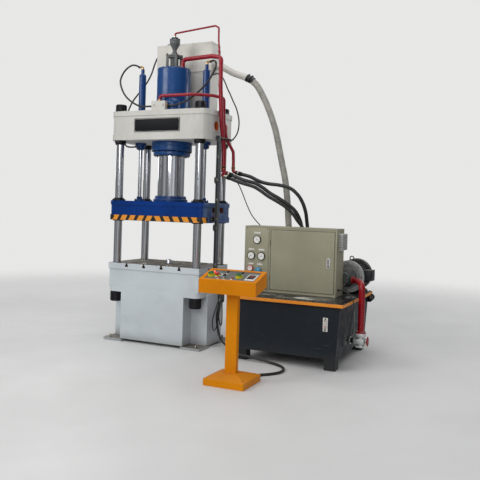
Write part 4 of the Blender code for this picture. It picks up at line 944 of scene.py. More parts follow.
# ----------------------------------------------------------------------------
# CAD nodes that stay: better materials, and rounded edges
# ----------------------------------------------------------------------------
def dress(node, mat, width=0.0025, seg=2, weld=True, angle=32):
    obj = nodes[node]
    for s in obj.material_slots:
        s.material = MATS[mat]
    if weld:
        w = obj.modifiers.new("weld", "WELD")
        w.merge_threshold = 0.00005
    if width:
        b = obj.modifiers.new("round", "BEVEL")
        b.width = width
        b.segments = seg
        b.limit_method = "ANGLE"
        b.angle_limit = math.radians(angle)
        b.use_clamp_overlap = True
        b.harden_normals = False
        b.miter_outer = "MITER_ARC"


dress("bed", "bed_paint", 0.003)
dress("crown", "crown_paint", 0.003)
dress("platen", "platen_blue", 0.003)
dress("oil_tank", "tank_slate", 0.003)
dress("tank_lid", "lid_paint", 0.003)
dress("cabinet", "khaki", 0.003)
dress("cabinet_door", "khaki", 0.0025)
dress("console", "console_paint", 0.0025)
dress("pedestal", "pedestal_yellow", 0.004)
dress("prefill_tank", "tank_cream", 0.003)
dress("manifold_block", "crown_paint", 0.003)
dress("switch_rail", "rail_dark", 0.0015)


# ----------------------------------------------------------------------------
# Press: columns, nuts, cylinders, valve, pipes
# ----------------------------------------------------------------------------
COLS = [(sx * 0.540, sy * 0.300) for sx in (-1, 1) for sy in (-1, 1)]
COL_R = 0.0465
C0, C1 = 2.387, 2.731          # crown, lower and upper face
G = 0.0003


def bolts_round(piece, cx, cy, z, radius, count, r, h, axis=(0, 0, 1), phase=0.0, mat="bolt_black", kind="hex", washer=True):
    for i in range(count):
        a = 2 * math.pi * (i + phase) / count
        piece.bolt((cx + radius * math.cos(a), cy + radius * math.sin(a), z), axis, r, h, mat, kind, washer)


def slotted_nut(piece, at, z0, z1, r, r_in, mat, slots=6, w=0.016, d=0.007):
    """A round nut with hook-spanner slots and turned ends."""
    pts = []
    n = 72
    for i in range(n):
        a = 2 * math.pi * i / n
        k = (a * slots / (2 * math.pi)) % 1.0
        half = (w / 2) / (2 * math.pi * r / slots)
        deep = d if abs(k - 0.5) < half else 0.0
        pts.append(((r - deep) * math.cos(a), (r - deep) * math.sin(a)))
    piece.prism([(at[0] + x, at[1] + y) for x, y in pts], z0 + 0.012, z1 - 0.012, mat, "Z")
    piece.lathe([(r_in, z0), (r - 0.010, z0), (r - 0.0015, z0 + 0.009), (r - 0.0015, z0 + 0.014), (r_in, z0 + 0.014)], mat, 48, at=(*at, 0))
    piece.lathe([(r_in, z1 - 0.014), (r - 0.0015, z1 - 0.014), (r - 0.0015, z1 - 0.009), (r - 0.009, z1), (r_in + 0.004, z1),
                 (r_in, z1 - 0.004)], mat, 48, at=(*at, 0))


def make_columns():
    p = Piece("column_set")
    r = COL_R
    for x, y in COLS:
        at = (x, y, 0)
        p.lathe([(0, 0.560), (r, 0.560), (r, 2.1495), (r - 0.0008, 2.150), (r - 0.0008, 2.1535), (r, 2.154), (r, 2.8130),
                 (r - 0.004, 2.8170), (0, 2.8170)], "chrome_column", 48, at=at)
        # Thin wiper line where it enters the table.
        p.lathe([(r + 0.0005, 0.9264), (r + 0.008, 0.9264), (r + 0.007, 0.9300), (r + 0.002, 0.9315), (r + 0.0005, 0.9315)], "black_steel", 48, at=at)
        # Split clamp collar under the crown.
        p.lathe([(r + 0.0004, 2.354), (0.064, 2.354), (0.066, 2.356), (0.066, C0 - 0.003), (0.064, C0 - G), (r + 0.0004, C0 - G)], "black_steel", 48, at=at)
        p.lathe([(r + 0.0004, 2.337), (0.056, 2.337), (0.0585, 2.3395), (0.0585, 2.3535), (r + 0.0004, 2.3535)], "bolt_black", 48, at=at)
        for k in range(4):
            a = math.radians(45 + 90 * k)
            q = Matrix.Translation((x, y, 0)) @ Matrix.Rotation(a, 4, "Z")
            p.lathe([(0, 0), (0.0062, 0), (0.0062, 0.0030), (0.0050, 0.0036), (0, 0.0036)], "bolt_black", 12,
                    matrix=q @ Matrix.Translation((0.0645, 0, 2.371)) @ Matrix.Rotation(math.pi / 2, 4, "Y"))
        # End of the thread, with its centre drilling.
        p.lathe([(0, 2.8165), (0.043, 2.8165), (0.045, 2.8174), (0.013, 2.8174), (0.010, 2.8160), (0.008, 2.808), (0, 2.806)], "black_steel", 36, at=at)
    for x, y in COLS:
        slotted_nut(p, (x, y), 0.4645, 0.5843, 0.0715, r + 0.0006, "black_steel")
        p.lathe([(0, 0.4642), (0.046, 0.4642), (0.047, 0.4655), (0.047, 0.562), (0, 0.562)], "black_steel", 36, at=(x, y, 0))
    p.finish("column_front_left", "column_front_right", "column_rear_left", "column_rear_right")
    p = Piece("crown_nuts")
    for x, y in COLS:
        slotted_nut(p, (x, y), C1 + G, 2.816, 0.066, r + 0.0006, "black_steel")
        p.lathe([(0.050, C1 + G), (0.0725, C1 + G), (0.0725, C1 + 0.006), (0.071, C1 + 0.0075), (0.050, C1 + 0.0075)], "bolt_black", 48, at=(x, y, 0))
    p.finish("crown_nut_front_left", "crown_nut_front_right", "crown_nut_rear_left", "crown_nut_rear_right")


def make_main_cylinder():
    p = Piece("main_barrel")
    body = [(0.1606, 2.2760), (0.236, 2.2760), (0.243, 2.283), (0.243, 2.330), (0.240, 2.334), (0.240, 2.340), (0.243, 2.344), (0.243, C0 - G),
            (0.2045, C0 - G), (0.2045, 3.246), (0.2030, 3.2475), (0.2030, 3.2515), (0.2045, 3.253), (0.2045, 3.262), (0.197, 3.2695), (0.120, 3.2695),
            (0.116, 3.2690), (0, 3.2690), (0, 3.216), (0.1606, 3.216)]
    p.lathe(body, "cylinder_blue", 96, fillet=0.0015)
    # Weld bead where the barrel meets the crown, and the port boss in front.
    p.lathe([(0.2045, C1 + G), (0.2135, C1 + G), (0.2125, C1 + 0.005), (0.2085, C1 + 0.008), (0.2045, C1 + 0.009)], "cylinder_blue", 96)
    p.lathe([(0, C1 + G), (0.088, C1 + G), (0.088, 2.846), (0.084, 2.858), (0.070, 2.880), (0.052, 2.893), (0.030, 2.901), (0, 2.903)],
            "cylinder_blue", 56, at=(0.085, -0.1475, 0), fillet=0.004)
    p.lathe([(0.086, C1 + G), (0.096, C1 + G), (0.094, C1 + 0.006), (0.086, C1 + 0.009)], "cylinder_blue", 48, at=(0.085, -0.1475, 0))
    # Socket screws in the end cover.
    bolts_round(p, 0, 0, 3.2695, 0.176, 16, 0.011, 0.009, phase=0.25, kind="socket", washer=False, mat="bolt_black")
    bolts_round(p, 0, 0, 2.2760, 0.232, 16, 0.0095, 0.010, axis=(0, 0, -1), phase=0.5, kind="socket", washer=False, mat="bolt_black")
    p.lathe([(0, 3.2690), (0.019, 3.2690), (0.019, 3.2770), (0.016, 3.2790), (0, 3.2790)], "bolt_zinc", 6, at=(-0.115, 0.06, 0))
    p.finish("main_cylinder")
    p = Piece("gland_ring")
    p.lathe([(0.1606, 2.2223), (0.214, 2.2223), (0.222, 2.229), (0.224, 2.236), (0.224, 2.262), (0.219, 2.268), (0.206, 2.2754), (0.1606, 2.2754)],
            "cylinder_blue", 96, fillet=0.0012)
    p.lathe([(0.1603, 2.2175), (0.176, 2.2175), (0.178, 2.2222), (0.1603, 2.2222)], "black_plastic", 72)
    bolts_round(p, 0, 0, 2.2223, 0.198, 12, 0.0105, 0.011, axis=(0, 0, -1), kind="socket", washer=False, mat="bolt_black")
    bolts_round(p, 0, 0, 2.2655, 0.2165, 12, 0.0065, 0.010, phase=0.5, kind="hex", washer=False, mat="bolt_zinc")
    p.finish("gland_flange")


def make_moving():
    p = Piece("main_ram_rod", "press_slide")
    r = 0.1595
    p.lathe([(0, 1.6694), (r, 1.6694), (r, 2.744), (r - 0.006, 2.750), (0, 2.750)], "chrome_ram", 96)
    p.finish("main_ram")
    p = Piece("ram_ring", "press_slide")
    p.lathe([(r + G, 1.6694), (0.204, 1.6694), (0.206, 1.6715), (0.206, 1.697), (0.203, 1.7005), (0.191, 1.7025), (0.190, 1.705), (0.190, 1.728),
             (0.184, 1.7365), (r + G, 1.7365)], "flange_blue", 96, fillet=0.001)
    bolts_round(p, 0, 0, 1.7365, 0.1745, 12, 0.0075, 0.006, phase=0.3, kind="socket", washer=False)
    p.finish("ram_flange")
    for side, sx in (("left", -1), ("right", 1)):
        p = Piece(f"pull_rod_{side}", "press_slide")
        at = (sx * 0.447, 0, 0)
        p.lathe([(0, 1.690), (0.023, 1.690), (0.023, 2.743), (0.021, 2.745), (0, 2.745)], "chrome_column", 40, at=at)
        p.lathe([(0.0234, 1.6694), (0.060, 1.6694), (0.062, 1.6715), (0.062, 1.690), (0.0595, 1.693), (0.0234, 1.693)], "flange_blue", 48, at=at,
                fillet=0.001)
        p.lathe([(0.0234, 1.693), (0.0365, 1.693), (0.038, 1.696), (0.038, 1.722), (0.0365, 1.7255), (0.0234, 1.7255)], "flange_blue", 6, at=at)
        bolts_round(p, at[0], at[1], 1.693, 0.050, 6, 0.0068, 0.007, phase=0.5, kind="hex", mat="flange_blue")
        p.finish(f"return_rod_{side}")
    # Guide-bush flanges and their bolts on the platen.
    p = Piece("guide_bushes", "press_slide")
    for x, y in COLS:
        p.lathe([(COL_R + 0.0011, 1.6694), (0.0775, 1.6694), (0.0790, 1.6705), (0.0790, 1.682), (0.0770, 1.6842), (0.062, 1.6842), (0.060, 1.6856),
                 (0.059, 1.6985), (0.0575, 1.7005), (COL_R + 0.0011, 1.7005)], "black_steel", 56, at=(x, y, 0))
        bolts_round(p, x, y, 1.6842, 0.0695, 8, 0.0050, 0.005, phase=0.5, kind="socket", washer=False)
        p.lathe([(COL_R + 0.0006, 1.6985), (0.0530, 1.6985), (0.0530, 1.7035), (COL_R + 0.0006, 1.7035)], "black_plastic", 48, at=(x, y, 0))
        # Lower wiper ring under the platen.
        p.lathe([(COL_R + 0.0011, 1.4366), (0.066, 1.4366), (0.066, 1.4300), (0.0635, 1.4275), (COL_R + 0.0011, 1.4275)], "black_steel", 48, at=(x, y, 0))
    p.finish()


def outline(hx, hy, r, out=0.0):
    """Distance along the front of a rounded plan from its middle, to a point and its outward normal."""
    def at(s):
        flat = hx - r
        side = 1 if s >= 0 else -1
        t = abs(s)
        if t <= flat:
            return Vector((side * t, -hy - out, 0)), Vector((0, -1, 0))
        a = (t - flat) / r
        if a <= math.pi / 2:
            n = Vector((math.sin(a), -math.cos(a), 0))
            c = Vector((hx - r, -hy + r, 0))
        else:
            n = Vector((1, 0, 0))
            c = Vector((hx - r, -hy + r + (t - flat - r * math.pi / 2), 0))
        q = c + n * (r + out)
        return Vector((side * q.x, q.y, 0)), Vector((side * n.x, n.y, 0))
    return at


def patch(piece, path, s0, s1, z0, z1, slant, thick, mat, steps=10):
    """A thin plate bent along an outline: a parallelogram whose top is shifted by slant."""
    bm = bmesh.new()
    grid = []
    for i in range(steps + 1):
        col = []
        for zz in (z0, z1):
            s = s0 + (s1 - s0) * i / steps + (slant if zz == z1 else 0.0)
            q, n = path(s)
            inner = Vector((q.x, q.y, zz))
            outer = inner + n * thick
            col.append((bm.verts.new(inner), bm.verts.new(outer)))
        grid.append(col)
    for a, b in zip(grid, grid[1:]):
        bm.faces.new((a[0][1], b[0][1], b[1][1], a[1][1]))
        bm.faces.new((a[0][0], a[1][0], b[1][0], b[0][0]))
        bm.faces.new((a[0][0], b[0][0], b[0][1], a[0][1]))
        bm.faces.new((a[1][0], a[1][1], b[1][1], b[1][0]))
    for c in (grid[0], grid[-1]):
        bm.faces.new((c[0][0], c[0][1], c[1][1], c[1][0]))
    return piece.add(bm, mat)


def make_platen_trim():
    # Hazard band on the lower lip: leaning one way on the left half and the other way on the right.
    p = Piece("hazard_band", "press_slide")
    base = outline(0.655, 0.365, 0.090, 0.00015)
    band = outline(0.655, 0.365, 0.090, 0.00075)
    end = 0.655 - 0.090 + 0.090 * math.pi / 2
    patch(p, base, -end, end, 1.4385, 1.5010, 0.0, 0.0006, "stripe_black", 96)
    for s0 in (-0.587, -0.470, -0.355, -0.236, -0.122):
        patch(p, band, s0, s0 + 0.072, 1.4400, 1.4995, 0.032, 0.0004, "stripe_orange", 12)
    for s0 in (0.022, 0.142, 0.265, 0.388, 0.512):
        patch(p, band, s0 + 0.010, s0 + 0.084, 1.4400, 1.4995, -0.032, 0.0004, "stripe_orange", 12)
    patch(p, band, 0.640, 0.686, 1.4400, 1.4995, -0.016, 0.0004, "stripe_orange", 12)
    patch(p, band, -0.690, -0.655, 1.4400, 1.4995, 0.012, 0.0004, "stripe_orange", 12)
    p.finish()
    # Rusty liners seen through the end windows.
    p = Piece("platen_window_liners", "press_slide")
    for sx in (-1, 1):
        for sy in (-1, 1):
            a0, a1 = sorted((sx * 0.5425, sx * 0.6440))
            outer = rounded(sy * 0.097 - 0.0515, 1.5505, sy * 0.097 + 0.0515, 1.6155, 0.0320, 8)
            inner = rounded(sy * 0.097 - 0.0485, 1.5535, sy * 0.097 + 0.0485, 1.6125, 0.0290, 8)
            bm = bmesh.new()
            ro = [[bm.verts.new((x, q[0], q[1])) for q in outer] for x in (a0, a1)]
            ri = [[bm.verts.new((x, q[0], q[1])) for q in inner] for x in (a0, a1)]
            n = len(outer)
            for i in range(n):
                j = (i + 1) % n
                bm.faces.new((ro[0][i], ro[0][j], ro[1][j], ro[1][i]))
                bm.faces.new((ri[0][i], ri[1][i], ri[1][j], ri[0][j]))
                bm.faces.new((ro[0][i], ri[0][i], ri[0][j], ro[0][j]))
                bm.faces.new((ro[1][i], ro[1][j], ri[1][j], ri[1][i]))
            p.add(bm, "rust_window")
            b0, b1 = sorted((sx * 0.5405, sx * 0.5425))
            p.prism(outer, b0, b1, "rust_dark", "X")
            c0, c1 = sorted((sx * 0.5425, sx * 0.600))
            p.box(c0, sy * 0.097 - 0.006, 1.553, c1, sy * 0.097 + 0.006, 1.613, "rust_dark", 0.001)
    p.finish()
    # Striker for the limit switches, screwed to the platen's right front corner.
    p = Piece("striker", "press_slide")
    p.box(0.6560, -0.225, 1.4600, 0.6640, -0.1520, 1.4940, "black_steel", 0.0015)
    p.box(0.6640, -0.172, 1.4690, 0.6735, -0.1530, 1.4860, "black_steel", 0.0015)
    p.bolt((0.6640, -0.212, 1.477), (1, 0, 0), 0.0062, 0.0055, "bolt_zinc")
    p.bolt((0.6640, -0.186, 1.477), (1, 0, 0), 0.0062, 0.0055, "bolt_zinc")
    p.finish()


def fitting(piece, at, axis, r, parts, mat="brass"):
    """A row of turned and hexagonal parts along axis. parts: (kind, length, scale)."""
    q = Vector(axis).normalized().to_track_quat("Z", "Y").to_matrix().to_4x4()
    m = Matrix.Translation(Vector(at)) @ q
    h = 0.0
    for kind, length, k in parts:
        rr = r * k
        seg = 6 if kind == "hex" else 28
        c = min(length * 0.18, rr * 0.15)
        piece.lathe([(0, h), (rr - c, h), (rr, h + c), (rr, h + length - c), (rr - c, h + length), (0, h + length)], mat, seg, matrix=m)
        h += length
    return piece


def make_return_cylinders():
    for side, sx in (("left", -1), ("right", 1)):
        p = Piece(f"pull_cylinder_{side}")
        x = sx * 0.447
        at = (x, 0, 0)
        p.lathe([(0.0236, 2.307), (0.046, 2.307), (0.050, 2.311), (0.050, 2.350), (0.053, 2.353), (0.068, 2.353), (0.070, 2.355), (0.070, C0 - 0.003),
                 (0.068, C0 - G), (0.0434, C0 - G), (0.0434, C1 + G), (0.058, C1 + G), (0.060, C1 + 0.003), (0.060, 2.757), (0.058, 2.760),
                 (0.050, 2.762), (0.0455, 2.772), (0.0435, 2.790), (0.0435, 3.214), (0.041, 3.226), (0.036, 3.236), (0.0225, 3.240), (0.0215, 3.246), (0.0215, 3.298),
                 (0.019, 3.302), (0, 3.302), (0, 3.238), (0.0236, 3.205)], "flange_blue", 48, at=at, fillet=0.001)
        bolts_round(p, x, 0, 2.353, 0.0605, 6, 0.0058, 0.007, axis=(0, 0, -1), phase=0.25, kind="socket", washer=False)
        bolts_round(p, x, 0, 2.760, 0.0530, 6, 0.0055, 0.005, phase=0.25, kind="socket", washer=False, mat="flange_blue")
        p.lathe([(0.0232, 2.3010), (0.031, 2.3010), (0.033, 2.3070), (0.0232, 2.3070)], "black_plastic", 36, at=at)
        # Elbow for the hose, screwed into the top.
        z = 3.332 if sx < 0 else 3.336
        fitting(p, (x, 0, 3.302), (0, 0, 1), 0.015, [("round", 0.004, 1.15), ("hex", 0.011, 1.1), ("round", 0.006, 0.8)])
        p.tube(bent([(x, 0, 3.318), (x, 0, z), (x + sx * 0.016, 0, z)], 0.010), 0.0105, "brass", 20)
        fitting(p, (x + sx * 0.011, 0, z), (sx, 0, 0), 0.0145, [("hex", 0.012, 1.0), ("round", 0.0075, 0.85)])
        if sx < 0:
            # Port for the tank's drain hose under the crown.
            fitting(p, (x - 0.0495, 0, 2.330), (-1, 0, 0), 0.013, [("round", 0.0045, 1.1), ("hex", 0.011, 1.0)])
        else:
            p.lathe([(0, 0), (0.011, 0), (0.011, 0.007), (0.009, 0.009), (0, 0.009)], "bolt_zinc", 6,
                    matrix=Matrix.Translation((x + 0.0495, 0, 2.330)) @ Matrix.Rotation(math.pi / 2, 4, "Y"))
        p.finish(f"return_cylinder_{side}")


def make_prefill_valve():
    p = Piece("prefill_valve_body")
    low, top = 3.2704, 3.4410
    p.prism(rounded(-0.078, -0.078, 0.078, 0.078, 0.008, 4), low, 3.2880, "cast_grey", "Z", 0.0015)
    p.prism(rounded(-0.078, -0.078, 0.078, 0.078, 0.008, 4), 3.4245, top, "cast_grey", "Z", 0.0015)
    for sx in (-1, 1):
        for sy in (-1, 1):
            x0, x1 = sorted((sx * 0.0500, sx * 0.0745))
            y0, y1 = sorted((sy * 0.0500, sy * 0.0745))
            p.box(x0, y0, 3.286, x1, y1, 3.426, "cast_grey", 0.003, 3)
            p.bolt((sx * 0.064, sy * 0.064, top), (0, 0, 1), 0.0110, 0.013, "bolt_black")
    # Side plates with a tall window, set back between the posts.
    for a in range(4):
        q = Matrix.Rotation(math.radians(90 * a), 4, "Z")
        p.box(-0.052, 0.0620, 3.286, 0.052, 0.0690, 3.304, "cast_grey", 0.0015, matrix=q)
        p.box(-0.052, 0.0620, 3.408, 0.052, 0.0690, 3.426, "cast_grey", 0.0015, matrix=q)
        p.box(-0.052, 0.0620, 3.300, -0.040, 0.0690, 3.412, "cast_grey", 0.0015, matrix=q)
        p.box(0.040, 0.0620, 3.300, 0.052, 0.0690, 3.412, "cast_grey", 0.0015, matrix=q)
    # Spool housing with cooling rings, seen through the windows.
    rings = [(0, 3.287)]
    for k in range(6):
        z = 3.292 + 0.0215 * k
        rings += [(0.050, z), (0.050, z + 0.011), (0.042, z + 0.014), (0.042, z + 0.019)]
    p.lathe(rings + [(0.042, 3.425), (0, 3.425)], "cast_grey", 40, fillet=0.002)
    p.lathe([(0, top), (0.046, top), (0.047, 3.4450), (0.047, 3.4540), (0.044, 3.4580), (0.034, 3.4640), (0.0265, 3.4800), (0.0255, 3.4960),
             (0.0270, 3.5100), (0.034, 3.5270), (0.046, 3.5480), (0.0600, 3.5720), (0.0635, 3.5780), (0.0635, 3.5850), (0.0620, 3.5880), (0.0620, 3.6030),
             (0.0640, 3.6060), (0.0640, 3.6200), (0.0620, 3.6240), (0.0480, 3.6250), (0.0430, 3.6265), (0.0430, 3.6500), (0.0400, 3.6560), (0.0200, 3.6580), (0, 3.6580)],
            "cast_grey", 56, fillet=0.0015)
    for a in range(6):
        t = 2 * math.pi * (a + 0.35) / 6
        p.bolt((0.0530 * math.cos(t), 0.0530 * math.sin(t), 3.6240), (0, 0, 1), 0.0100, 0.020, "bolt_black", "hex", False)
    bolts_round(p, 0, 0, 3.4560, 0.0400, 6, 0.0045, 0.005, phase=0.5, kind="socket", washer=False)
    fitting(p, (0, 0, 3.6560), (0, 0, 1), 0.0165, [("hex", 0.0062, 1.0)], "bolt_zinc")
    p.finish("prefill_valve")


def weld(piece, path, index, r, mat):
    """A bead round a pipe at a point of its path."""
    a = Vector(path[max(index - 1, 0)])
    b = Vector(path[min(index + 1, len(path) - 1)])
    t = (b - a).normalized()
    q = t.to_track_quat("Z", "Y").to_matrix().to_4x4()
    m = Matrix.Translation(Vector(path[index])) @ q
    piece.lathe([(r - 0.001, -0.004), (r + 0.0010, -0.0035), (r + 0.0018, -0.001), (r + 0.0018, 0.001), (r + 0.0010, 0.0035), (r - 0.001, 0.004)], mat, 24,
                matrix=m)


def make_rigid_pipes():
    # Pilot line, from the valve's cap to the pressure pipe's bend.
    p = Piece("pilot_line")
    route = bent([(0.0, 0.0, 3.6624), (0.0, 0.0, 3.708), (0.60, -0.115, 3.715), (0.650, -0.120, 3.690), (0.652, -0.120, 3.540), (0.668, -0.120, 3.3820)],
                 0.030, 6)
    p.tube(route, 0.0109, "red_paint", 20)
    fitting(p, (0, 0, 3.6624), (0, 0, 1), 0.0165, [("hex", 0.013, 1.0), ("round", 0.004, 0.85)], "bolt_zinc")
    fitting(p, (0.6640, -0.120, 3.4250), (0.014, 0, -0.14), 0.0160, [("hex", 0.018, 1.0), ("round", 0.007, 0.9)], "red_paint")
    p.lathe([(0.0108, -0.0035), (0.0150, -0.0030), (0.0170, 0.0010), (0.0150, 0.0050), (0.0118, 0.0080), (0.0108, 0.0080)], "red_paint", 24,
            matrix=Matrix.Translation((0.6676, -0.120, 3.3830)))
    p.finish("pipe_pilot")

    p = Piece("pressure_line")
    route = bent([(0.137, -0.030, 3.2706), (0.137, -0.030, 3.376), (0.56, -0.094, 3.374), (0.690, -0.118, 3.345), (0.690, -0.117, 3.026),
                  (0.702, -0.090, 2.628), (0.716, -0.033, 2.300), (0.716, -0.030, 2.160)], 0.055, 6)
    route += bent([(0.716, -0.030, 2.160), (0.716, -0.030, 2.030), (0.7590, -0.0093, 2.0160)], 0.031, 8)[1:]
    p.tube(route, 0.0255, "red_paint", 32)
    fitting(p, (0.137, -0.030, 3.2704), (0, 0, 1), 0.036, [("round", 0.010, 1.0), ("hex", 0.012, 0.95)], "red_paint")
    fitting(p, (0.716, -0.030, 2.1050), (0, 0, -1), 0.0315, [("round", 0.006, 0.92), ("hex", 0.024, 1.0), ("round", 0.010, 0.95)], "copper_fit")
    last = Vector((0.7590, -0.0093, 2.0160))
    way = (last - Vector((0.716, -0.030, 2.030))).normalized()
    fitting(p, last - way * 0.020, way, 0.0290, [("hex", 0.0197, 1.0)], "black_steel")
    for i in range(2, len(route) - 12):
        if (Vector(route[i]) - Vector(route[i - 1])).length > 0.1:
            weld(p, route, i, 0.0255, "red_paint")
            weld(p, route, i - 1, 0.0255, "red_paint")
    p.finish("pipe_pressure")

    p = Piece("return_line")
    route = bent([(-0.030, -0.258, 2.8463), (-0.030, -0.258, 2.912), (0.40, -0.250, 2.912), (0.590, -0.115, 2.912), (0.700, -0.035, 2.890),
                  (0.702, -0.022, 2.62), (0.728, 0.006, 2.42), (0.787, 0.074, 2.275), (0.790, 0.080, 2.160)], 0.040, 6)
    route += bent([(0.790, 0.080, 2.160), (0.790, 0.080, 2.045), (0.8302, 0.0952, 2.0320)], 0.025, 8)[1:]
    p.tube(route, 0.0185, "red_paint", 28)
    fitting(p, (-0.030, -0.258, 2.8463), (0, 0, 1), 0.0245, [("round", 0.004, 0.9), ("hex", 0.016, 1.0), ("round", 0.005, 0.85)], "brass")
    fitting(p, (0.790, 0.080, 2.1020), (0, 0, -1), 0.0245, [("round", 0.006, 0.90), ("hex", 0.020, 1.0), ("round", 0.008, 0.92)], "copper_fit")
    last = Vector((0.8302, 0.0952, 2.0320))
    way = (last - Vector((0.790, 0.080, 2.045))).normalized()
    fitting(p, last - way * 0.017, way, 0.0262, [("hex", 0.0167, 1.0)], "black_steel")
    for i in range(2, len(route) - 12):
        if (Vector(route[i]) - Vector(route[i - 1])).length > 0.1:
            weld(p, route, i, 0.0185, "red_paint")
    p.finish("pipe_return")

    # Clamp that holds both down pipes to the crown's side.
    p = Piece("pipe_clamp")
    p.box(0.6560, -0.096, 2.4030, 0.8000, 0.048, 2.4130, "black_steel", 0.0015)
    p.box(0.6645, -0.096, 2.3900, 0.6725, 0.048, 2.4450, "black_steel", 0.0015)
    p.bolt((0.6725, -0.082, 2.430), (1, 0, 0), 0.0075, 0.006, "bolt_black")
    p.bolt((0.6725, 0.036, 2.430), (1, 0, 0), 0.0075, 0.006, "bolt_black")
    for cx, cy, r in ((0.7117, -0.0490, 0.0258), (0.7295, 0.0100, 0.0190)):
        ring = [(cx + (r + 0.0040) * math.cos(t), cy + (r + 0.0040) * math.sin(t), 2.4200) for t in [k * math.pi / 12 for k in range(-6, 7)]]
        p.tube(ring, 0.0042, "bolt_zinc", 10)
        for k in (-6, 6):
            t = k * math.pi / 12
            p.bolt((cx + (r + 0.0040) * math.cos(t), cy + (r + 0.0040) * math.sin(t), 2.4240), (0, 0, 1), 0.0062, 0.006, "bolt_zinc")
    p.finish()


def make_name_plate():
    """The plate on the crown's front: its face is bare but for a thin border."""
    p = Piece("name_plate")
    x0, x1, z0, z1, y = -0.310, 0.308, 2.478, 2.638, -0.3593
    p.box(x0, y - 0.0030, z0, x1, y, z1, "plate_black", 0.0008)
    f = y - 0.0034
    for a in ((x0 + 0.006, z0 + 0.006, x1 - 0.006, z0 + 0.0085), (x0 + 0.006, z1 - 0.0085, x1 - 0.006, z1 - 0.006),
              (x0 + 0.006, z0 + 0.0085, x0 + 0.0085, z1 - 0.0085), (x1 - 0.0085, z0 + 0.0085, x1 - 0.006, z1 - 0.0085)):
        p.box(a[0], f, a[1], a[2], y - 0.0028, a[3], "label_white", 0)
    for x in (x0 + 0.016, x1 - 0.016):
        for z in (z0 + 0.016, z1 - 0.016):
            p.bolt((x, y - 0.0030, z), (0, -1, 0), 0.0046, 0.0028, "bolt_zinc", "screw", False)
    p.finish()
    # Steel liners in the crown's round access holes.
    p = Piece("crown_window_liners")
    for sx in (-1, 1):
        for sy in (-1, 1):
            at = (sx * 0.531, sy * 0.121, 2.557)
            m = Matrix.Translation(at) @ Matrix.Rotation(sx * math.pi / 2, 4, "Y")
            p.lathe([(0, 0.0), (0.0546, 0.0), (0.0546, 0.1230), (0.0500, 0.1230), (0.0500, 0.0030), (0, 0.0030)], "window_orange", 40, matrix=m)
            p.lathe([(0, 0.0028), (0.0498, 0.0028), (0.0498, 0.0040), (0, 0.0040)], "rust_dark", 36, matrix=m)
            p.box(-0.0485, -0.006, 0.004, 0.0485, 0.006, 0.060, "rust_dark", 0.001, matrix=m)
    p.finish()


make_columns()
make_main_cylinder()
make_moving()
make_platen_trim()
make_return_cylinders()
make_prefill_valve()
make_rigid_pipes()
make_name_plate()


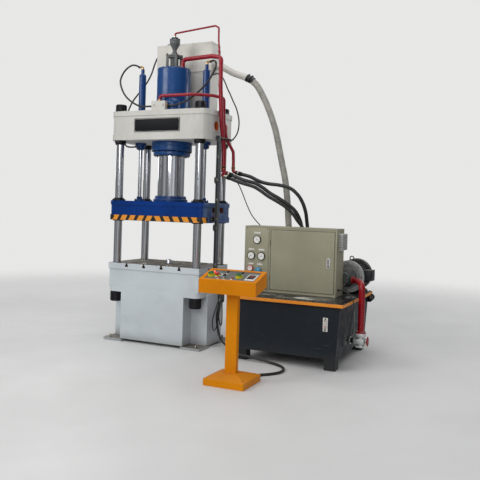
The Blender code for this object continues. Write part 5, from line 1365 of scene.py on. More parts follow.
# ----------------------------------------------------------------------------
# More hoses and cables
# ----------------------------------------------------------------------------
EXTRA = {
    # name: (radius, material, stiffness, lay, way out at the start, way out at the end, route)
    "power_hose_third": (0.0195, "hose_black", "stiff", "hanging", (0.91, 0.235, -0.345), (0, 0, 1), [
        (0.7400, -0.0180, 1.9800), (0.918, 0.027, 1.913), (1.059, 0.067, 1.872), (1.143, 0.093, 1.824), (1.226, 0.122, 1.764),
        (1.337, 0.158, 1.701), (1.433, 0.190, 1.637), (1.500, 0.220, 1.566), (1.543, 0.250, 1.497), (1.574, 0.277, 1.451),
        (1.604, 0.296, 1.395), (1.634, 0.302, 1.320), (1.676, 0.305, 1.220), (1.730, 0.328, 1.120), (1.778, 0.368, 1.045), (1.795, 0.405, 0.9603)]),
    "sensor_cable_high": (0.0080, "cable_black", "medium", "hanging", (1, 0, 0.1), (0.9, 0.2, -0.1), [
        (0.3763, 0.300, 3.250), (0.440, 0.300, 3.258), (0.500, 0.297, 3.218), (0.548, 0.289, 3.144), (0.589, 0.280, 3.063),
        (0.635, 0.270, 2.985), (0.680, 0.260, 2.901), (0.728, 0.250, 2.815), (0.761, 0.236, 2.730), (0.785, 0.215, 2.650), (0.792, 0.196, 2.580),
        (0.787, 0.172, 2.508), (0.765, 0.142, 2.447), (0.728, 0.105, 2.404), (0.692, 0.078, 2.394), (0.6643, 0.066, 2.402)]),
    "signal_cable": (0.0060, "cable_black", "medium", "hanging", (0.1, 0.3, -1), (0, 1, 0.1), [
        (0.794, 0.098, 2.002), (0.812, 0.116, 1.950), (0.848, 0.150, 1.873), (0.878, 0.177, 1.790), (0.903, 0.200, 1.711), (0.934, 0.226, 1.624),
        (0.968, 0.250, 1.546), (1.005, 0.272, 1.490), (1.042, 0.298, 1.443), (1.075, 0.318, 1.398), (1.098, 0.316, 1.350), (1.104, 0.294, 1.322), (1.105, 0.2625, 1.318)]),
    "rail_cable": (0.0070, "cable_black", "medium", "hanging", (0, 0, -1), (1, 0, 0), [
        (0.699, -0.132, 0.8797), (0.705, -0.118, 0.800), (0.712, -0.090, 0.700), (0.719, -0.072, 0.600), (0.727, -0.078, 0.500),
        (0.736, -0.092, 0.410), (0.742, -0.084, 0.325), (0.735, -0.040, 0.262), (0.722, 0.020, 0.245), (0.705, 0.070, 0.290), (0.688, 0.105, 0.370),
        (0.672, 0.130, 0.460), (0.662, 0.148, 0.545), (0.650, 0.158, 0.600), (0.6195, 0.160, 0.6150)]),
    "bed_cable": (0.0060, "cable_black", "medium", "hanging", (1, 0, 0), (1, 0, 0), [
        (0.6063, 0.080, 0.760), (0.640, 0.078, 0.758), (0.668, 0.066, 0.720), (0.684, 0.040, 0.640), (0.688, 0.012, 0.550), (0.676, -0.030, 0.460),
        (0.672, -0.080, 0.380), (0.676, -0.118, 0.310), (0.680, -0.116, 0.235), (0.676, -0.070, 0.190), (0.668, -0.010, 0.205), (0.664, 0.040, 0.270),
        (0.662, 0.075, 0.360), (0.664, 0.095, 0.450), (0.664, 0.110, 0.530), (0.655, 0.118, 0.585), (0.6195, 0.120, 0.6050)]),
    "tank_cable": (0.0050, "cable_black", "medium", "hanging", (1, 0, -0.1), (1, 0, 0), [
        (2.1170, 0.060, 0.760), (2.165, 0.052, 0.754), (2.210, 0.030, 0.744), (2.250, -0.010, 0.728), (2.286, -0.058, 0.706), (2.315, -0.105, 0.668),
        (2.328, -0.140, 0.615), (2.325, -0.166, 0.555), (2.316, -0.184, 0.490), (2.308, -0.194, 0.425), (2.304, -0.190, 0.365), (2.297, -0.170, 0.318),
        (2.280, -0.146, 0.285), (2.2500, -0.130, 0.268)]),
}


def make_extra():
    for name, (r, mat, stiff, lay, out_a, out_b, route) in EXTRA.items():
        a, b = Vector(route[0]), Vector(route[-1])
        stub = max(0.014, 2.0 * r)
        pts = [a] + smooth_path([a + Vector(out_a) * stub] + route[1:-1] + [b + Vector(out_b) * stub], max(0.010, 1.3 * r)) + [b]
        PATHS[name] = pts
        obj = cord_curve("line_" + name, pts, r, mat)
    p = Piece("third_hose_root")
    fitting(p, (0.7160, -0.0290, 1.9900), (0.8, 0.35, -0.35), 0.0260, [("hex", 0.030, 1.0)], "bolt_zinc")
    fitting(p, (0.7160, -0.0300, 2.0150), (0, 0, -1), 0.0240, [("round", 0.040, 1.0)], "red_paint")
    p.finish()


make_extra()


# ----------------------------------------------------------------------------
# Hose ends, outlet pipe, limit switches, bed fittings
# ----------------------------------------------------------------------------
def hose_ends():
    for name, nut, sleeve in (("hose_left", "brass", "bolt_black"), ("hose_right", "brass", "bolt_black"), ("hose_tank", "bolt_zinc", "bolt_black"),
                              ("power_hose_upper", "bolt_zinc", "black_steel"), ("power_hose_lower", "bolt_zinc", "black_steel"),
                              ("power_hose_third", "bolt_zinc", "black_steel")):
        pts = [Vector(q) for q in PATHS[name]]
        r = 0.0110 if name in ("hose_left", "hose_right") else 0.0100 if name == "hose_tank" else 0.0195 if name.endswith("third") else 0.0210
        p = Piece(name + "_ends")
        for a, b in ((pts[0], pts[1]), (pts[-1], pts[-2])):
            way = (b - a).normalized()
            fitting(p, a, way, r * 1.42, [("hex", r * 0.95, 1.0)], nut)
            fitting(p, a + way * r * 0.95, way, r * 1.22, [("round", r * 0.30, 0.92), ("round", r * 1.55, 1.0), ("round", r * 0.25, 0.95)], sleeve)
        p.finish()


def outlet_pipe():
    """Painted steel pipe out of the prefill tank; the grey hose is clamped over its end."""
    pts = [Vector(q) for q in PATHS["tank_return_hose"]]
    keep, run = [pts[0]], 0.0
    for a, b in zip(pts, pts[1:]):
        run += (b - a).length
        keep.append(b)
        if b.x > 0.835:
            break
    p = Piece("outlet_pipe")
    p.tube(keep, 0.0402, "tank_cream", 40)
    a, way = keep[0], (keep[1] - keep[0]).normalized()
    fitting(p, a, way, 0.058, [("round", 0.010, 1.0), ("round", 0.006, 0.78)], "tank_cream")
    p.finish()
    p = Piece("outlet_clamps")
    end = keep[-1]
    way = (keep[-1] - keep[-2]).normalized()
    q = way.to_track_quat("Z", "Y").to_matrix().to_4x4()
    for off in (-0.026, 0.020):
        m = Matrix.Translation(end + way * off) @ q
        p.lathe([(0.0385, -0.0130), (0.0432, -0.0130), (0.0440, -0.0120), (0.0440, 0.0120), (0.0432, 0.0130), (0.0385, 0.0130)], "black_steel", 48, matrix=m)
        p.box(-0.0090, 0.0425, -0.0100, 0.0090, 0.0560, 0.0100, "black_steel", 0.0015, matrix=m)
        p.bolt(m @ Vector((0.0090, 0.0500, 0.0)), m.to_3x3() @ Vector((1, 0, 0)), 0.0055, 0.0050, "bolt_zinc")
    p.lathe([(0.0385, -0.034), (0.0418, -0.034), (0.0418, 0.060), (0.0385, 0.060)], "hose_black", 40, matrix=Matrix.Translation(end) @ q)
    p.finish()


def limit_switches():
    for k, (z, cap) in enumerate(((1.933, "button_red"), (1.485, "label_white"), (1.386, "button_red"))):
        p = Piece(f"limit_switch_{k + 1}")
        p.box(0.6590, -0.1480, z - 0.0300, 0.6797, -0.1130, z + 0.0300, "black_plastic", 0.0030, 3)
        p.box(0.6580, -0.1440, z - 0.0210, 0.6592, -0.1170, z + 0.0210, "panel_grey", 0.0006)
        p.box(0.6610, -0.1495, z + 0.0300, 0.6780, -0.1145, z + 0.0390, "label_white" if cap == "button_red" else "button_red", 0.0015)
        p.lathe([(0, 0), (0.0070, 0), (0.0070, 0.0120), (0.0050, 0.0150), (0, 0.0150)], cap, 20, matrix=Matrix.Translation((0.6690, -0.1310, z - 0.0300)) @ Matrix.Rotation(math.pi, 4, "X"))
        for zz in (-0.022, 0.022):
            p.bolt((0.6590, -0.1210, z + zz), (-1, 0, 0), 0.0028, 0.0014, "bolt_zinc", "screw", False)
        p.finish()
    # Slide nuts and their screws in the rail's groove, and the rail's arms' bolts.
    p = Piece("rail_fixings")
    for z in (0.960, 1.386, 1.485, 1.700, 1.933, 2.200, 2.390):
        p.box(0.6900, -0.1500, z - 0.0120, 0.7080, -0.1300, z + 0.0120, "bolt_zinc", 0.0012)
        p.bolt((0.6990, -0.1500, z), (0, -1, 0), 0.0062, 0.0055, "bolt_black", "socket", False)
    p.finish()


def bed_fittings():
    p = Piece("bed_fixings")
    for sx in (-1, 1):
        for sy in (-1, 1):
            x, y = sx * 0.585, sy * 0.335
            p.lathe([(0, 0.0279), (0.0270, 0.0279), (0.0270, 0.0310), (0.0255, 0.0318), (0, 0.0318)], "bolt_zinc", 36, at=(x, y, 0))
            p.bolt((x, y, 0.0318), (0, 0, 1), 0.0165, 0.0150, "bolt_zinc", "hex", False)
            p.lathe([(0, 0.0460), (0.0105, 0.0460), (0.0105, 0.0620), (0.0090, 0.0640), (0, 0.0640)], "bolt_zinc", 24, at=(x, y, 0))
    # The ejector's guide bush in the table, and its screws.
    p.lathe([(0.0370, 0.9262), (0.0540, 0.9262), (0.0540, 0.9285), (0.0525, 0.9296), (0.0380, 0.9296), (0.0370, 0.9285)], "black_steel", 48)
    for k in range(4):
        a = 2 * math.pi * (k + 0.5) / 4
        p.bolt((0.0455 * math.cos(a), 0.0455 * math.sin(a), 0.9296), (0, 0, 1), 0.0030, 0.0012, "bolt_black", "screw", False)
    p.finish()
    # Cylinder under the table and its rod.
    p = Piece("ejector_body")
    p.lathe([(0.0366, 0.4003), (0.0720, 0.4003), (0.0740, 0.4020), (0.0740, 0.4300), (0.0700, 0.4330), (0.0700, 0.7550), (0.0740, 0.7580), (0.0740, 0.7640), (0.0930, 0.7670),
             (0.0950, 0.7690), (0.0950, 0.7975), (0.0930, 0.7994), (0.0366, 0.7994)], "cylinder_blue", 56)
    bolts_round(p, 0, 0, 0.7670, 0.0830, 8, 0.0065, 0.0060, axis=(0, 0, -1), mat="bolt_black")
    fitting(p, (0.0690, 0, 0.440), (1, 0, 0), 0.0140, [("hex", 0.0140, 1.0)], "bolt_zinc")
    fitting(p, (0.0690, 0, 0.720), (1, 0, 0), 0.0140, [("hex", 0.0140, 1.0)], "bolt_zinc")
    p.finish("ejector_cylinder")
    p = Piece("ejector_pin", "ejector")
    p.lathe([(0, 0.5602), (0.0340, 0.5602), (0.0356, 0.5620), (0.0356, 0.9690), (0.0335, 0.9728), (0.0100, 0.9728), (0.0080, 0.9700), (0.0080, 0.9560), (0, 0.9540)],
            "chrome_column", 48)
    p.finish("ejector_rod")


def manifold_fittings():
    p = Piece("manifold_fittings")
    x0, x1, y0, y1, top = -0.117, 0.066, -0.303, -0.2365, 2.8462
    for x in (x0 + 0.016, x0 + 0.060, x1 - 0.050, x1 - 0.016):
        p.bolt((x, y0 + 0.014, top), (0, 0, 1), 0.0062, 0.0055, "bolt_black", "socket", False)
    fitting(p, (x1, -0.260, 2.794), (1, 0, 0), 0.0190, [("hex", 0.0100, 1.0), ("round", 0.0040, 0.8)], "brass")
    fitting(p, (x0, -0.258, 2.794), (-1, 0, 0), 0.0180, [("hex", 0.0090, 1.0)], "bolt_black")
    m = Matrix.Translation((x1 - 0.030, y0, 2.800)) @ Matrix.Rotation(math.pi / 2, 4, "X")
    p.lathe([(0, 0), (0.0110, 0), (0.0110, 0.0060), (0.0090, 0.0075), (0, 0.0075)], "bolt_zinc", 6, matrix=m)
    m = Matrix.Translation((x0 + 0.034, y0, 2.800)) @ Matrix.Rotation(math.pi / 2, 4, "X")
    p.lathe([(0, 0), (0.0110, 0), (0.0110, 0.0060), (0.0090, 0.0075), (0, 0.0075)], "bolt_zinc", 6, matrix=m)
    p.box(x0 - 0.002, y0 - 0.002, 2.7314, x1 + 0.002, y1 + 0.002, 2.7370, "crown_paint", 0.0015)
    p.finish()
    # Prefill tank: filler cap, lid joint, mounting feet.
    p = Piece("tank_fittings")
    p.lathe([(0, 3.6418), (0.046, 3.6418), (0.046, 3.6460), (0.040, 3.6480), (0.040, 3.6720), (0.037, 3.6760), (0, 3.6780)], "black_plastic", 36, at=(-0.270, 0.345, 0), fillet=0.001)
    for x in (-0.372, -0.186, 0.0, 0.186, 0.372):
        for y in (0.2405, 0.4455):
            p.bolt((x, y, 3.6420), (0, 0, 1), 0.0062, 0.0050, "bolt_zinc")
    for x in (-0.340, 0.340):
        p.box(x - 0.035, 0.2060, 2.7314, x + 0.035, 0.2440, 2.7420, "tank_cream", 0.002)
        p.box(x - 0.035, 0.2340, 2.7420, x + 0.035, 0.2428, 2.7900, "tank_cream", 0.002)
        p.bolt((x, 0.2200, 2.7420), (0, 0, 1), 0.0090, 0.0080, "bolt_black")
    p.box(-0.3920, 0.2270, 3.6180, 0.3920, 0.4590, 3.6250, "tank_cream", 0.002)
    p.finish()


hose_ends()
outlet_pipe()
limit_switches()
bed_fittings()
manifold_fittings()


# ----------------------------------------------------------------------------
# Power unit: cabinet, tank, motor, pump, valves
# ----------------------------------------------------------------------------
def gauge(p, x, z, r, y, turn):
    """Pressure gauge let into the panel: rim, dial, graduations and needle."""
    m = Matrix.Translation((x, y, z)) @ Matrix.Rotation(math.pi / 2, 4, "X")
    p.lathe([(0, 0), (r, 0), (r, 0.010), (r * 0.985, 0.0145), (r * 0.93, 0.0170), (r * 0.86, 0.0165), (r * 0.83, 0.0120), (0, 0.0120)],
            "black_plastic", 48, matrix=m)
    p.lathe([(0, 0.0118), (r * 0.835, 0.0118), (r * 0.835, 0.0124), (0, 0.0124)], "dial_white", 40, matrix=m)
    for k in range(31):
        a = math.radians(225 - 9 * k)
        long = k % 5 == 0
        q = m @ Matrix.Rotation(a, 4, "Z")
        p.box(r * (0.64 if long else 0.71), -0.0004, 0.0122, r * 0.77, 0.0004 if not long else 0.0007, 0.0127, "panel_grey", 0, matrix=q)
    q = m @ Matrix.Rotation(math.radians(turn), 4, "Z")
    p.prism([(-r * 0.22, -0.0014), (r * 0.62, -0.0004), (r * 0.62, 0.0004), (-r * 0.22, 0.0014)], 0.0126, 0.0134, "wire_black", "Z", matrix=q)
    p.lathe([(0, 0.0121), (0.0030, 0.0121), (0.0026, 0.0146), (0, 0.0146)], "black_plastic", 16, matrix=m)


def make_cabinet_trim():
    p = Piece("cabinet_trim")
    y = -0.0220
    # Rolled lips round the front, the door's frame, and the instrument panel's sheet.
    for a in ((1.0152, 1.4090, 2.0948, 1.4218), (1.0152, 0.6846, 2.0948, 0.6975), (1.0152, 0.6975, 1.0270, 1.4090), (2.0830, 0.6975, 2.0948, 1.4090)):
        p.box(a[0], y - 0.0032, a[1], a[2], y + 0.0004, a[3], "khaki", 0.0014)
    p.box(1.0285, y - 0.0016, 0.6990, 1.2990, y + 0.0004, 1.4075, "khaki", 0.0008)
    p.box(1.3000, y - 0.0030, 0.6990, 1.3085, y + 0.0004, 1.4075, "khaki", 0.0012)
    p.box(1.3085, y - 0.0003, 0.6990, 1.3110, y + 0.0003, 1.4075, "stripe_black", 0)
    for x in (1.0420, 1.2860):
        for z in (0.716, 1.395):
            p.bolt((x, y - 0.0016, z), (0, -1, 0), 0.0052, 0.0026, "bolt_black", "screw", False)
    # Thin black strips in the gap round the door: painted shadow in the gap.
    for a in ((1.3290, 1.3868, 2.0735, 1.3905), (1.3290, 0.7145, 2.0735, 0.7182), (1.3290, 0.7182, 1.3330, 1.3868), (2.0690, 0.7182, 2.0735, 1.3868)):
        p.box(a[0], y - 0.0008, a[1], a[2], y + 0.0006, a[3], "stripe_black", 0)
    # Hinges.
    for z in (0.855, 1.245):
        p.lathe([(0, 0), (0.0042, 0), (0.0045, 0.001), (0.0045, 0.0465), (0.0042, 0.0475), (0, 0.0475)], "khaki", 18,
                matrix=Matrix.Translation((1.3236, y - 0.0042, z - 0.024)))
        p.lathe([(0, 0), (0.0030, 0), (0.0030, 0.0555), (0.0022, 0.0565), (0, 0.0565)], "bolt_zinc", 12,
                matrix=Matrix.Translation((1.3236, y - 0.0042, z - 0.028)))
        p.box(1.3130, y - 0.0028, z - 0.020, 1.3240, y + 0.0003, z + 0.020, "khaki", 0.0008)
    # Gauges, and blank label strips above each instrument.
    gauge(p, 1.165, 1.270, 0.0475, y - 0.0012, 118)
    gauge(p, 1.098, 1.087, 0.0465, y - 0.0012, 212)
    gauge(p, 1.222, 1.084, 0.0465, y - 0.0012, 200)
    for x, z, w in ((1.165, 1.346, 0.039), (1.098, 1.158, 0.034), (1.222, 1.156, 0.036), (1.098, 0.9935, 0.031), (1.205, 0.9915, 0.033)):
        p.box(x - w, y - 0.0026, z - 0.0085, x + w, y - 0.0014, z + 0.0085, "label_white", 0.0003)
    # Filter box with slats on the right side, vents at the back, rain edge on top.
    p.box(2.0952, 0.0300, 1.1920, 2.1400, 0.2350, 1.3720, "side_panel", 0.003)
    for k in range(9):
        z = 1.2060 + k * 0.0178
        p.box(2.1000, 0.0265, z, 2.1370, 0.0310, z + 0.0070, "panel_grey", 0.0012)
        p.box(2.1390, 0.0420, z, 2.1435, 0.2240, z + 0.0070, "panel_grey", 0.0012)
    for k in range(14):
        z = 0.98 + 0.020 * k
        for x in (1.20, 1.62):
            p.box(x, 0.2618, z, x + 0.30, 0.2655, z + 0.008, "khaki", 0.0018)
    for x in (1.05, 1.55, 2.06):
        for z in (0.72, 1.39):
            p.bolt((x, 0.2620, z), (0, 1, 0), 0.005, 0.0026, "bolt_black", "screw", False)
    p.box(1.0130 + 0.0022, -0.0218, 1.4216, 2.0948, 0.2618, 1.4236, "khaki", 0.001)
    # Foot flange on the lid.
    p.box(1.0260, 0.2620, 0.6846, 2.0840, 0.2800, 0.6876, "khaki", 0.001)
    for x in (1.06, 1.40, 1.74, 2.05):
        p.bolt((x, 0.271, 0.6876), (0, 0, 1), 0.0062, 0.005, "bolt_zinc")
    # Cable gland on the cabinet's lower right corner.
    fitting(p, (2.0950, 0.060, 0.760), (1, 0, 0), 0.0135, [("hex", 0.008, 1.0), ("round", 0.014, 0.78)], "black_plastic")
    p.finish()

    p = Piece("door_skin", "door")
    # Shallow pressed border round the door.
    for a in ((1.3430, 1.3740, 2.0590, 1.3775), (1.3430, 0.7270, 2.0590, 0.7305), (1.3430, 0.7305, 1.3465, 1.3740), (2.0555, 0.7305, 2.0590, 1.3740)):
        p.box(a[0], -0.02385, a[1], a[2], -0.0233, a[3], "khaki", 0.0002)
    p.finish()

    p = Piece("door_latch_plate", "door_latch")
    cx, cz = 2.005, 1.047
    pts = []
    for c, a0 in ((cz + 0.0375, 0), (cz - 0.0375, 180)):
        for k in range(13):
            a = math.radians(a0 + 15 * k)
            pts.append((cx + 0.0205 * math.cos(a), c + 0.0205 * math.sin(a)))
    p.prism(pts, -0.0278, -0.0240, "valve_silver", "Y", 0.0012, 2)
    q = Matrix.Translation((cx, -0.0278, cz))
    p.box(-0.0120, -0.0036, -0.0100, 0.0120, 0.0004, 0.0520, "bright_steel", 0.0034, 3, matrix=q)
    p.box(-0.0075, -0.0040, 0.0330, 0.0075, -0.0030, 0.0470, "panel_grey", 0.0010, matrix=q)
    m = Matrix.Translation((cx, -0.0278, cz - 0.0300)) @ Matrix.Rotation(math.pi / 2, 4, "X")
    p.lathe([(0, 0), (0.0135, 0), (0.0135, 0.0028), (0.0120, 0.0040), (0.0095, 0.0040), (0.0090, 0.0030), (0, 0.0030)], "valve_silver", 28, matrix=m)
    p.lathe([(0, 0.0028), (0.0088, 0.0028), (0.0088, 0.0036), (0, 0.0036)], "black_plastic", 24, matrix=m)
    p.finish("door_lock")

    for name, x, z, mat in (("regulator_red", 1.096, 0.943, "knob_red"), ("regulator_blue", 1.195, 0.925, "knob_blue")):
        p = Piece(name + "_knob", name)
        m = Matrix.Translation((x, -0.0223, z)) @ Matrix.Rotation(math.pi / 2, 4, "X")
        p.lathe([(0, 0), (0.0200, 0), (0.0200, 0.0140), (0.0195, 0.0150), (0, 0.0150)], "bright_steel", 32, matrix=m)
        # Fluted hand knob with a white cap.
        pts = []
        for k in range(96):
            a = 2 * math.pi * k / 96
            pts.append(((0.0347 + 0.0011 * math.cos(12 * a)) * math.cos(a), (0.0347 + 0.0011 * math.cos(12 * a)) * math.sin(a)))
        p.prism(pts, 0.0145, 0.0300, mat, "Z", 0.0012, 2, matrix=m)
        p.lathe([(0, 0.0295), (0.0290, 0.0295), (0.0280, 0.0325), (0.0240, 0.0333), (0, 0.0333)], "white_plastic" if name == "regulator_red" else mat, 40,
                matrix=m)
        p.box(-0.0030, 0.0040, 0.0325, 0.0030, 0.0230, 0.0338, mat if name == "regulator_red" else "white_plastic", 0.0005, matrix=m)
        p.finish("regulator_knob_" + name.split("_")[1])


def side_x(z):
    return 2.229 + (z - 0.114) * (0.033 / 0.5347)


def make_tank_trim():
    p = Piece("tank_trim")
    y = -0.4392
    # Level gauge on the front.
    p.box(2.0910, y - 0.0085, 0.3950, 2.1410, y, 0.5350, "label_white", 0.0018)
    p.box(2.1035, y - 0.0125, 0.4180, 2.1285, y - 0.0080, 0.5120, "bright_steel", 0.0018)
    p.box(2.1085, y - 0.0138, 0.4300, 2.1235, y - 0.0120, 0.5000, "label_white", 0.0008)
    p.box(2.1085, y - 0.0146, 0.4400, 2.1235, y - 0.0136, 0.4490, "button_red", 0.0003)
    for z in (0.4085, 0.5225):
        p.bolt((2.1160, y - 0.0085, z), (0, -1, 0), 0.0078, 0.0050, "bolt_black", "socket", False)
    # Weld seams at the two front corners.
    for x in (1.1305, 2.2285):
        p.box(x - 0.0015, -0.4398, 0.118, x + 0.0015, -0.4368, 0.640, "tank_slate", 0.001)
    # Sight tube, its elbows and the round cover plate on the right side.
    tube = [(side_x(0.265), 0.150, 0.265), (side_x(0.265) + 0.016, 0.150, 0.265), (side_x(0.265) + 0.021, 0.149, 0.272), (side_x(0.53) + 0.020, 0.105, 0.528),
            (side_x(0.535) + 0.015, 0.103, 0.536), (side_x(0.536), 0.103, 0.536)]
    p.tube(bent(tube, 0.006), 0.0062, "cable_steel", 14)
    for z, yy in ((0.265, 0.150), (0.536, 0.103)):
        fitting(p, (side_x(z) - 0.001, yy, z), (1, 0, 0), 0.0125, [("hex", 0.009, 1.0), ("round", 0.006, 0.8)], "bolt_zinc")
    m = Matrix.Translation((side_x(0.256), -0.128, 0.256)) @ Matrix.Rotation(math.pi / 2 - 0.0616, 4, "Y")
    p.lathe([(0, -0.004), (0.0640, -0.004), (0.0640, 0.0070), (0.0620, 0.0090), (0.0480, 0.0090), (0.0465, 0.0105), (0.0200, 0.0120), (0, 0.0120)], "pump_grey",
            48, matrix=m)
    for k in range(8):
        a = 2 * math.pi * k / 8
        p.bolt(m @ Vector((0.0550 * math.cos(a), 0.0550 * math.sin(a), 0.0090)), m.to_3x3() @ Vector((0, 0, 1)), 0.0055, 0.0045, "bolt_black")
    # Large cleaning cover on the back, drain plug and lifting lugs.
    q = Matrix.Translation((1.560, 0.8000, 0.360)) @ Matrix.Rotation(-math.pi / 2, 4, "X")
    p.lathe([(0, -0.004), (0.1900, -0.004), (0.1900, 0.0060), (0.1870, 0.0090), (0.1500, 0.0090), (0.1450, 0.0120), (0, 0.0120)], "tank_slate", 72, matrix=q)
    for k in range(12):
        a = 2 * math.pi * k / 12
        p.bolt(q @ Vector((0.1700 * math.cos(a), 0.1700 * math.sin(a), 0.0090)), (0, 1, 0), 0.0085, 0.0070, "bolt_black")
    fitting(p, (1.9600, 0.8000, 0.150), (0, 1, 0), 0.0190, [("round", 0.005, 1.1), ("hex", 0.014, 1.0)], "bolt_zinc")
    for x0, x1, yy, d in ((2.2635, 2.3360, 0.790, 1),):
        pts = [(x0 - 0.016, 0.560), (x0 + 0.030, 0.560), (x1, 0.600), (x1 + 0.006, 0.622), (x1 - 0.006, 0.650), (x0 + 0.020, 0.668), (x0 - 0.006, 0.668)]
        p.prism(pts, yy - 0.008, yy + 0.006, "black_steel", "Y", 0.0015)
        p.lathe([(0.0110, -0.0095), (0.0190, -0.0095), (0.0190, 0.0075), (0.0110, 0.0075)], "valve_silver", 28, axis="Y", at=(x0 + 0.040, yy, 0.618))
    for yy in (0.790,):
        pts = [(1.1180, 0.560), (1.0900, 0.560), (1.0680, 0.590), (1.0680, 0.640), (1.1000, 0.6480), (1.1245, 0.6480)]
        p.prism(pts, yy - 0.008, yy + 0.006, "black_steel", "Y", 0.0015)
    # Pads under the feet, and short welds where the feet meet the tank.
    for x0, x1 in ((1.1320, 1.2480), (2.1110, 2.2270)):
        for y0, y1 in ((-0.4370, -0.3210), (0.6820, 0.7980)):
            p.box(x0, y0, 0.1120, x1, y1, 0.1180, "tank_slate", 0.0025)
    p.finish()

    # Lid furniture: breather, return fitting, puddles of oil, bolts round the edge.
    p = Piece("lid_fittings")
    top = 0.6842
    p.lathe([(0, top), (0.055, top), (0.055, 0.6900), (0.052, 0.6930), (0.036, 0.6930), (0.034, 0.7380), (0.046, 0.7400), (0.048, 0.7460), (0.048, 0.7700),
             (0.044, 0.7790), (0.030, 0.7850), (0, 0.7870)], "black_plastic", 40, at=(1.180, 0.700, 0), fillet=0.0015)
    for k in range(6):
        a = 2 * math.pi * k / 6
        p.bolt((1.180 + 0.0460 * math.cos(a), 0.700 + 0.0460 * math.sin(a), 0.6930), (0, 0, 1), 0.0042, 0.003, "bolt_zinc", "screw", False)
    p.lathe([(0.0395, top), (0.072, top), (0.072, 0.6960), (0.070, 0.6980), (0.050, 0.6980), (0.047, 0.7200), (0.044, 0.7220), (0.0395, 0.7220)], "pump_grey", 48,
            at=(1.372, 0.550, 0))
    for k in range(4):
        a = 2 * math.pi * (k + 0.5) / 4
        p.bolt((1.372 + 0.0600 * math.cos(a), 0.550 + 0.0600 * math.sin(a), 0.6980), (0, 0, 1), 0.0080, 0.0065, "bolt_black")
    for i in range(9):
        x = 1.090 + i * 0.1480
        for yy in (-0.4480, 0.8230):
            p.bolt((x, yy, top), (0, 0, 1), 0.0075, 0.0060, "bolt_black")
    for i in range(7):
        yy = -0.30 + i * 0.165
        for x in (1.0840, 2.2810):
            p.bolt((x, yy, top), (0, 0, 1), 0.0075, 0.0060, "bolt_black")
    # Access cover behind the cabinet.
    p.box(1.520, 0.560, top, 1.900, 0.780, 0.6900, "lid_paint", 0.002)
    for x in (1.540, 1.710, 1.880):
        for yy in (0.580, 0.760):
            p.bolt((x, yy, 0.6900), (0, 0, 1), 0.0070, 0.0060, "bolt_black")
    p.lathe([(0.010, 0.6900), (0.0240, 0.6900), (0.0240, 0.6960), (0.010, 0.6960)], "bolt_zinc", 24, at=(1.710, 0.670, 0))
    p.box(1.664, 0.664, 0.6900, 1.670, 0.676, 0.7120, "black_steel", 0.001)
    p.box(1.750, 0.664, 0.6900, 1.756, 0.676, 0.7120, "black_steel", 0.001)
    p.box(1.664, 0.664, 0.7080, 1.756, 0.676, 0.7160, "black_steel", 0.002)
    p.finish()

    p = Piece("lid_puddles")
    for cx, cy, rx, ry, ph in ((1.955, -0.225, 0.125, 0.050, 0.3), (1.330, -0.190, 0.200, 0.045, 1.2), (1.620, -0.300, 0.100, 0.030, 2.2), (2.210, 0.130, 0.050, 0.090, 0.8)):
        pts = []
        for k in range(48):
            a = 2 * math.pi * k / 48
            w = 1 + 0.16 * math.sin(3 * a + ph) + 0.09 * math.sin(5 * a + 2 * ph) + 0.05 * math.sin(9 * a)
            pts.append((cx + rx * w * math.cos(a), cy + ry * w * math.sin(a)))
        p.prism(pts, 0.68425, 0.68465, "puddle", "Z")
    p.finish()


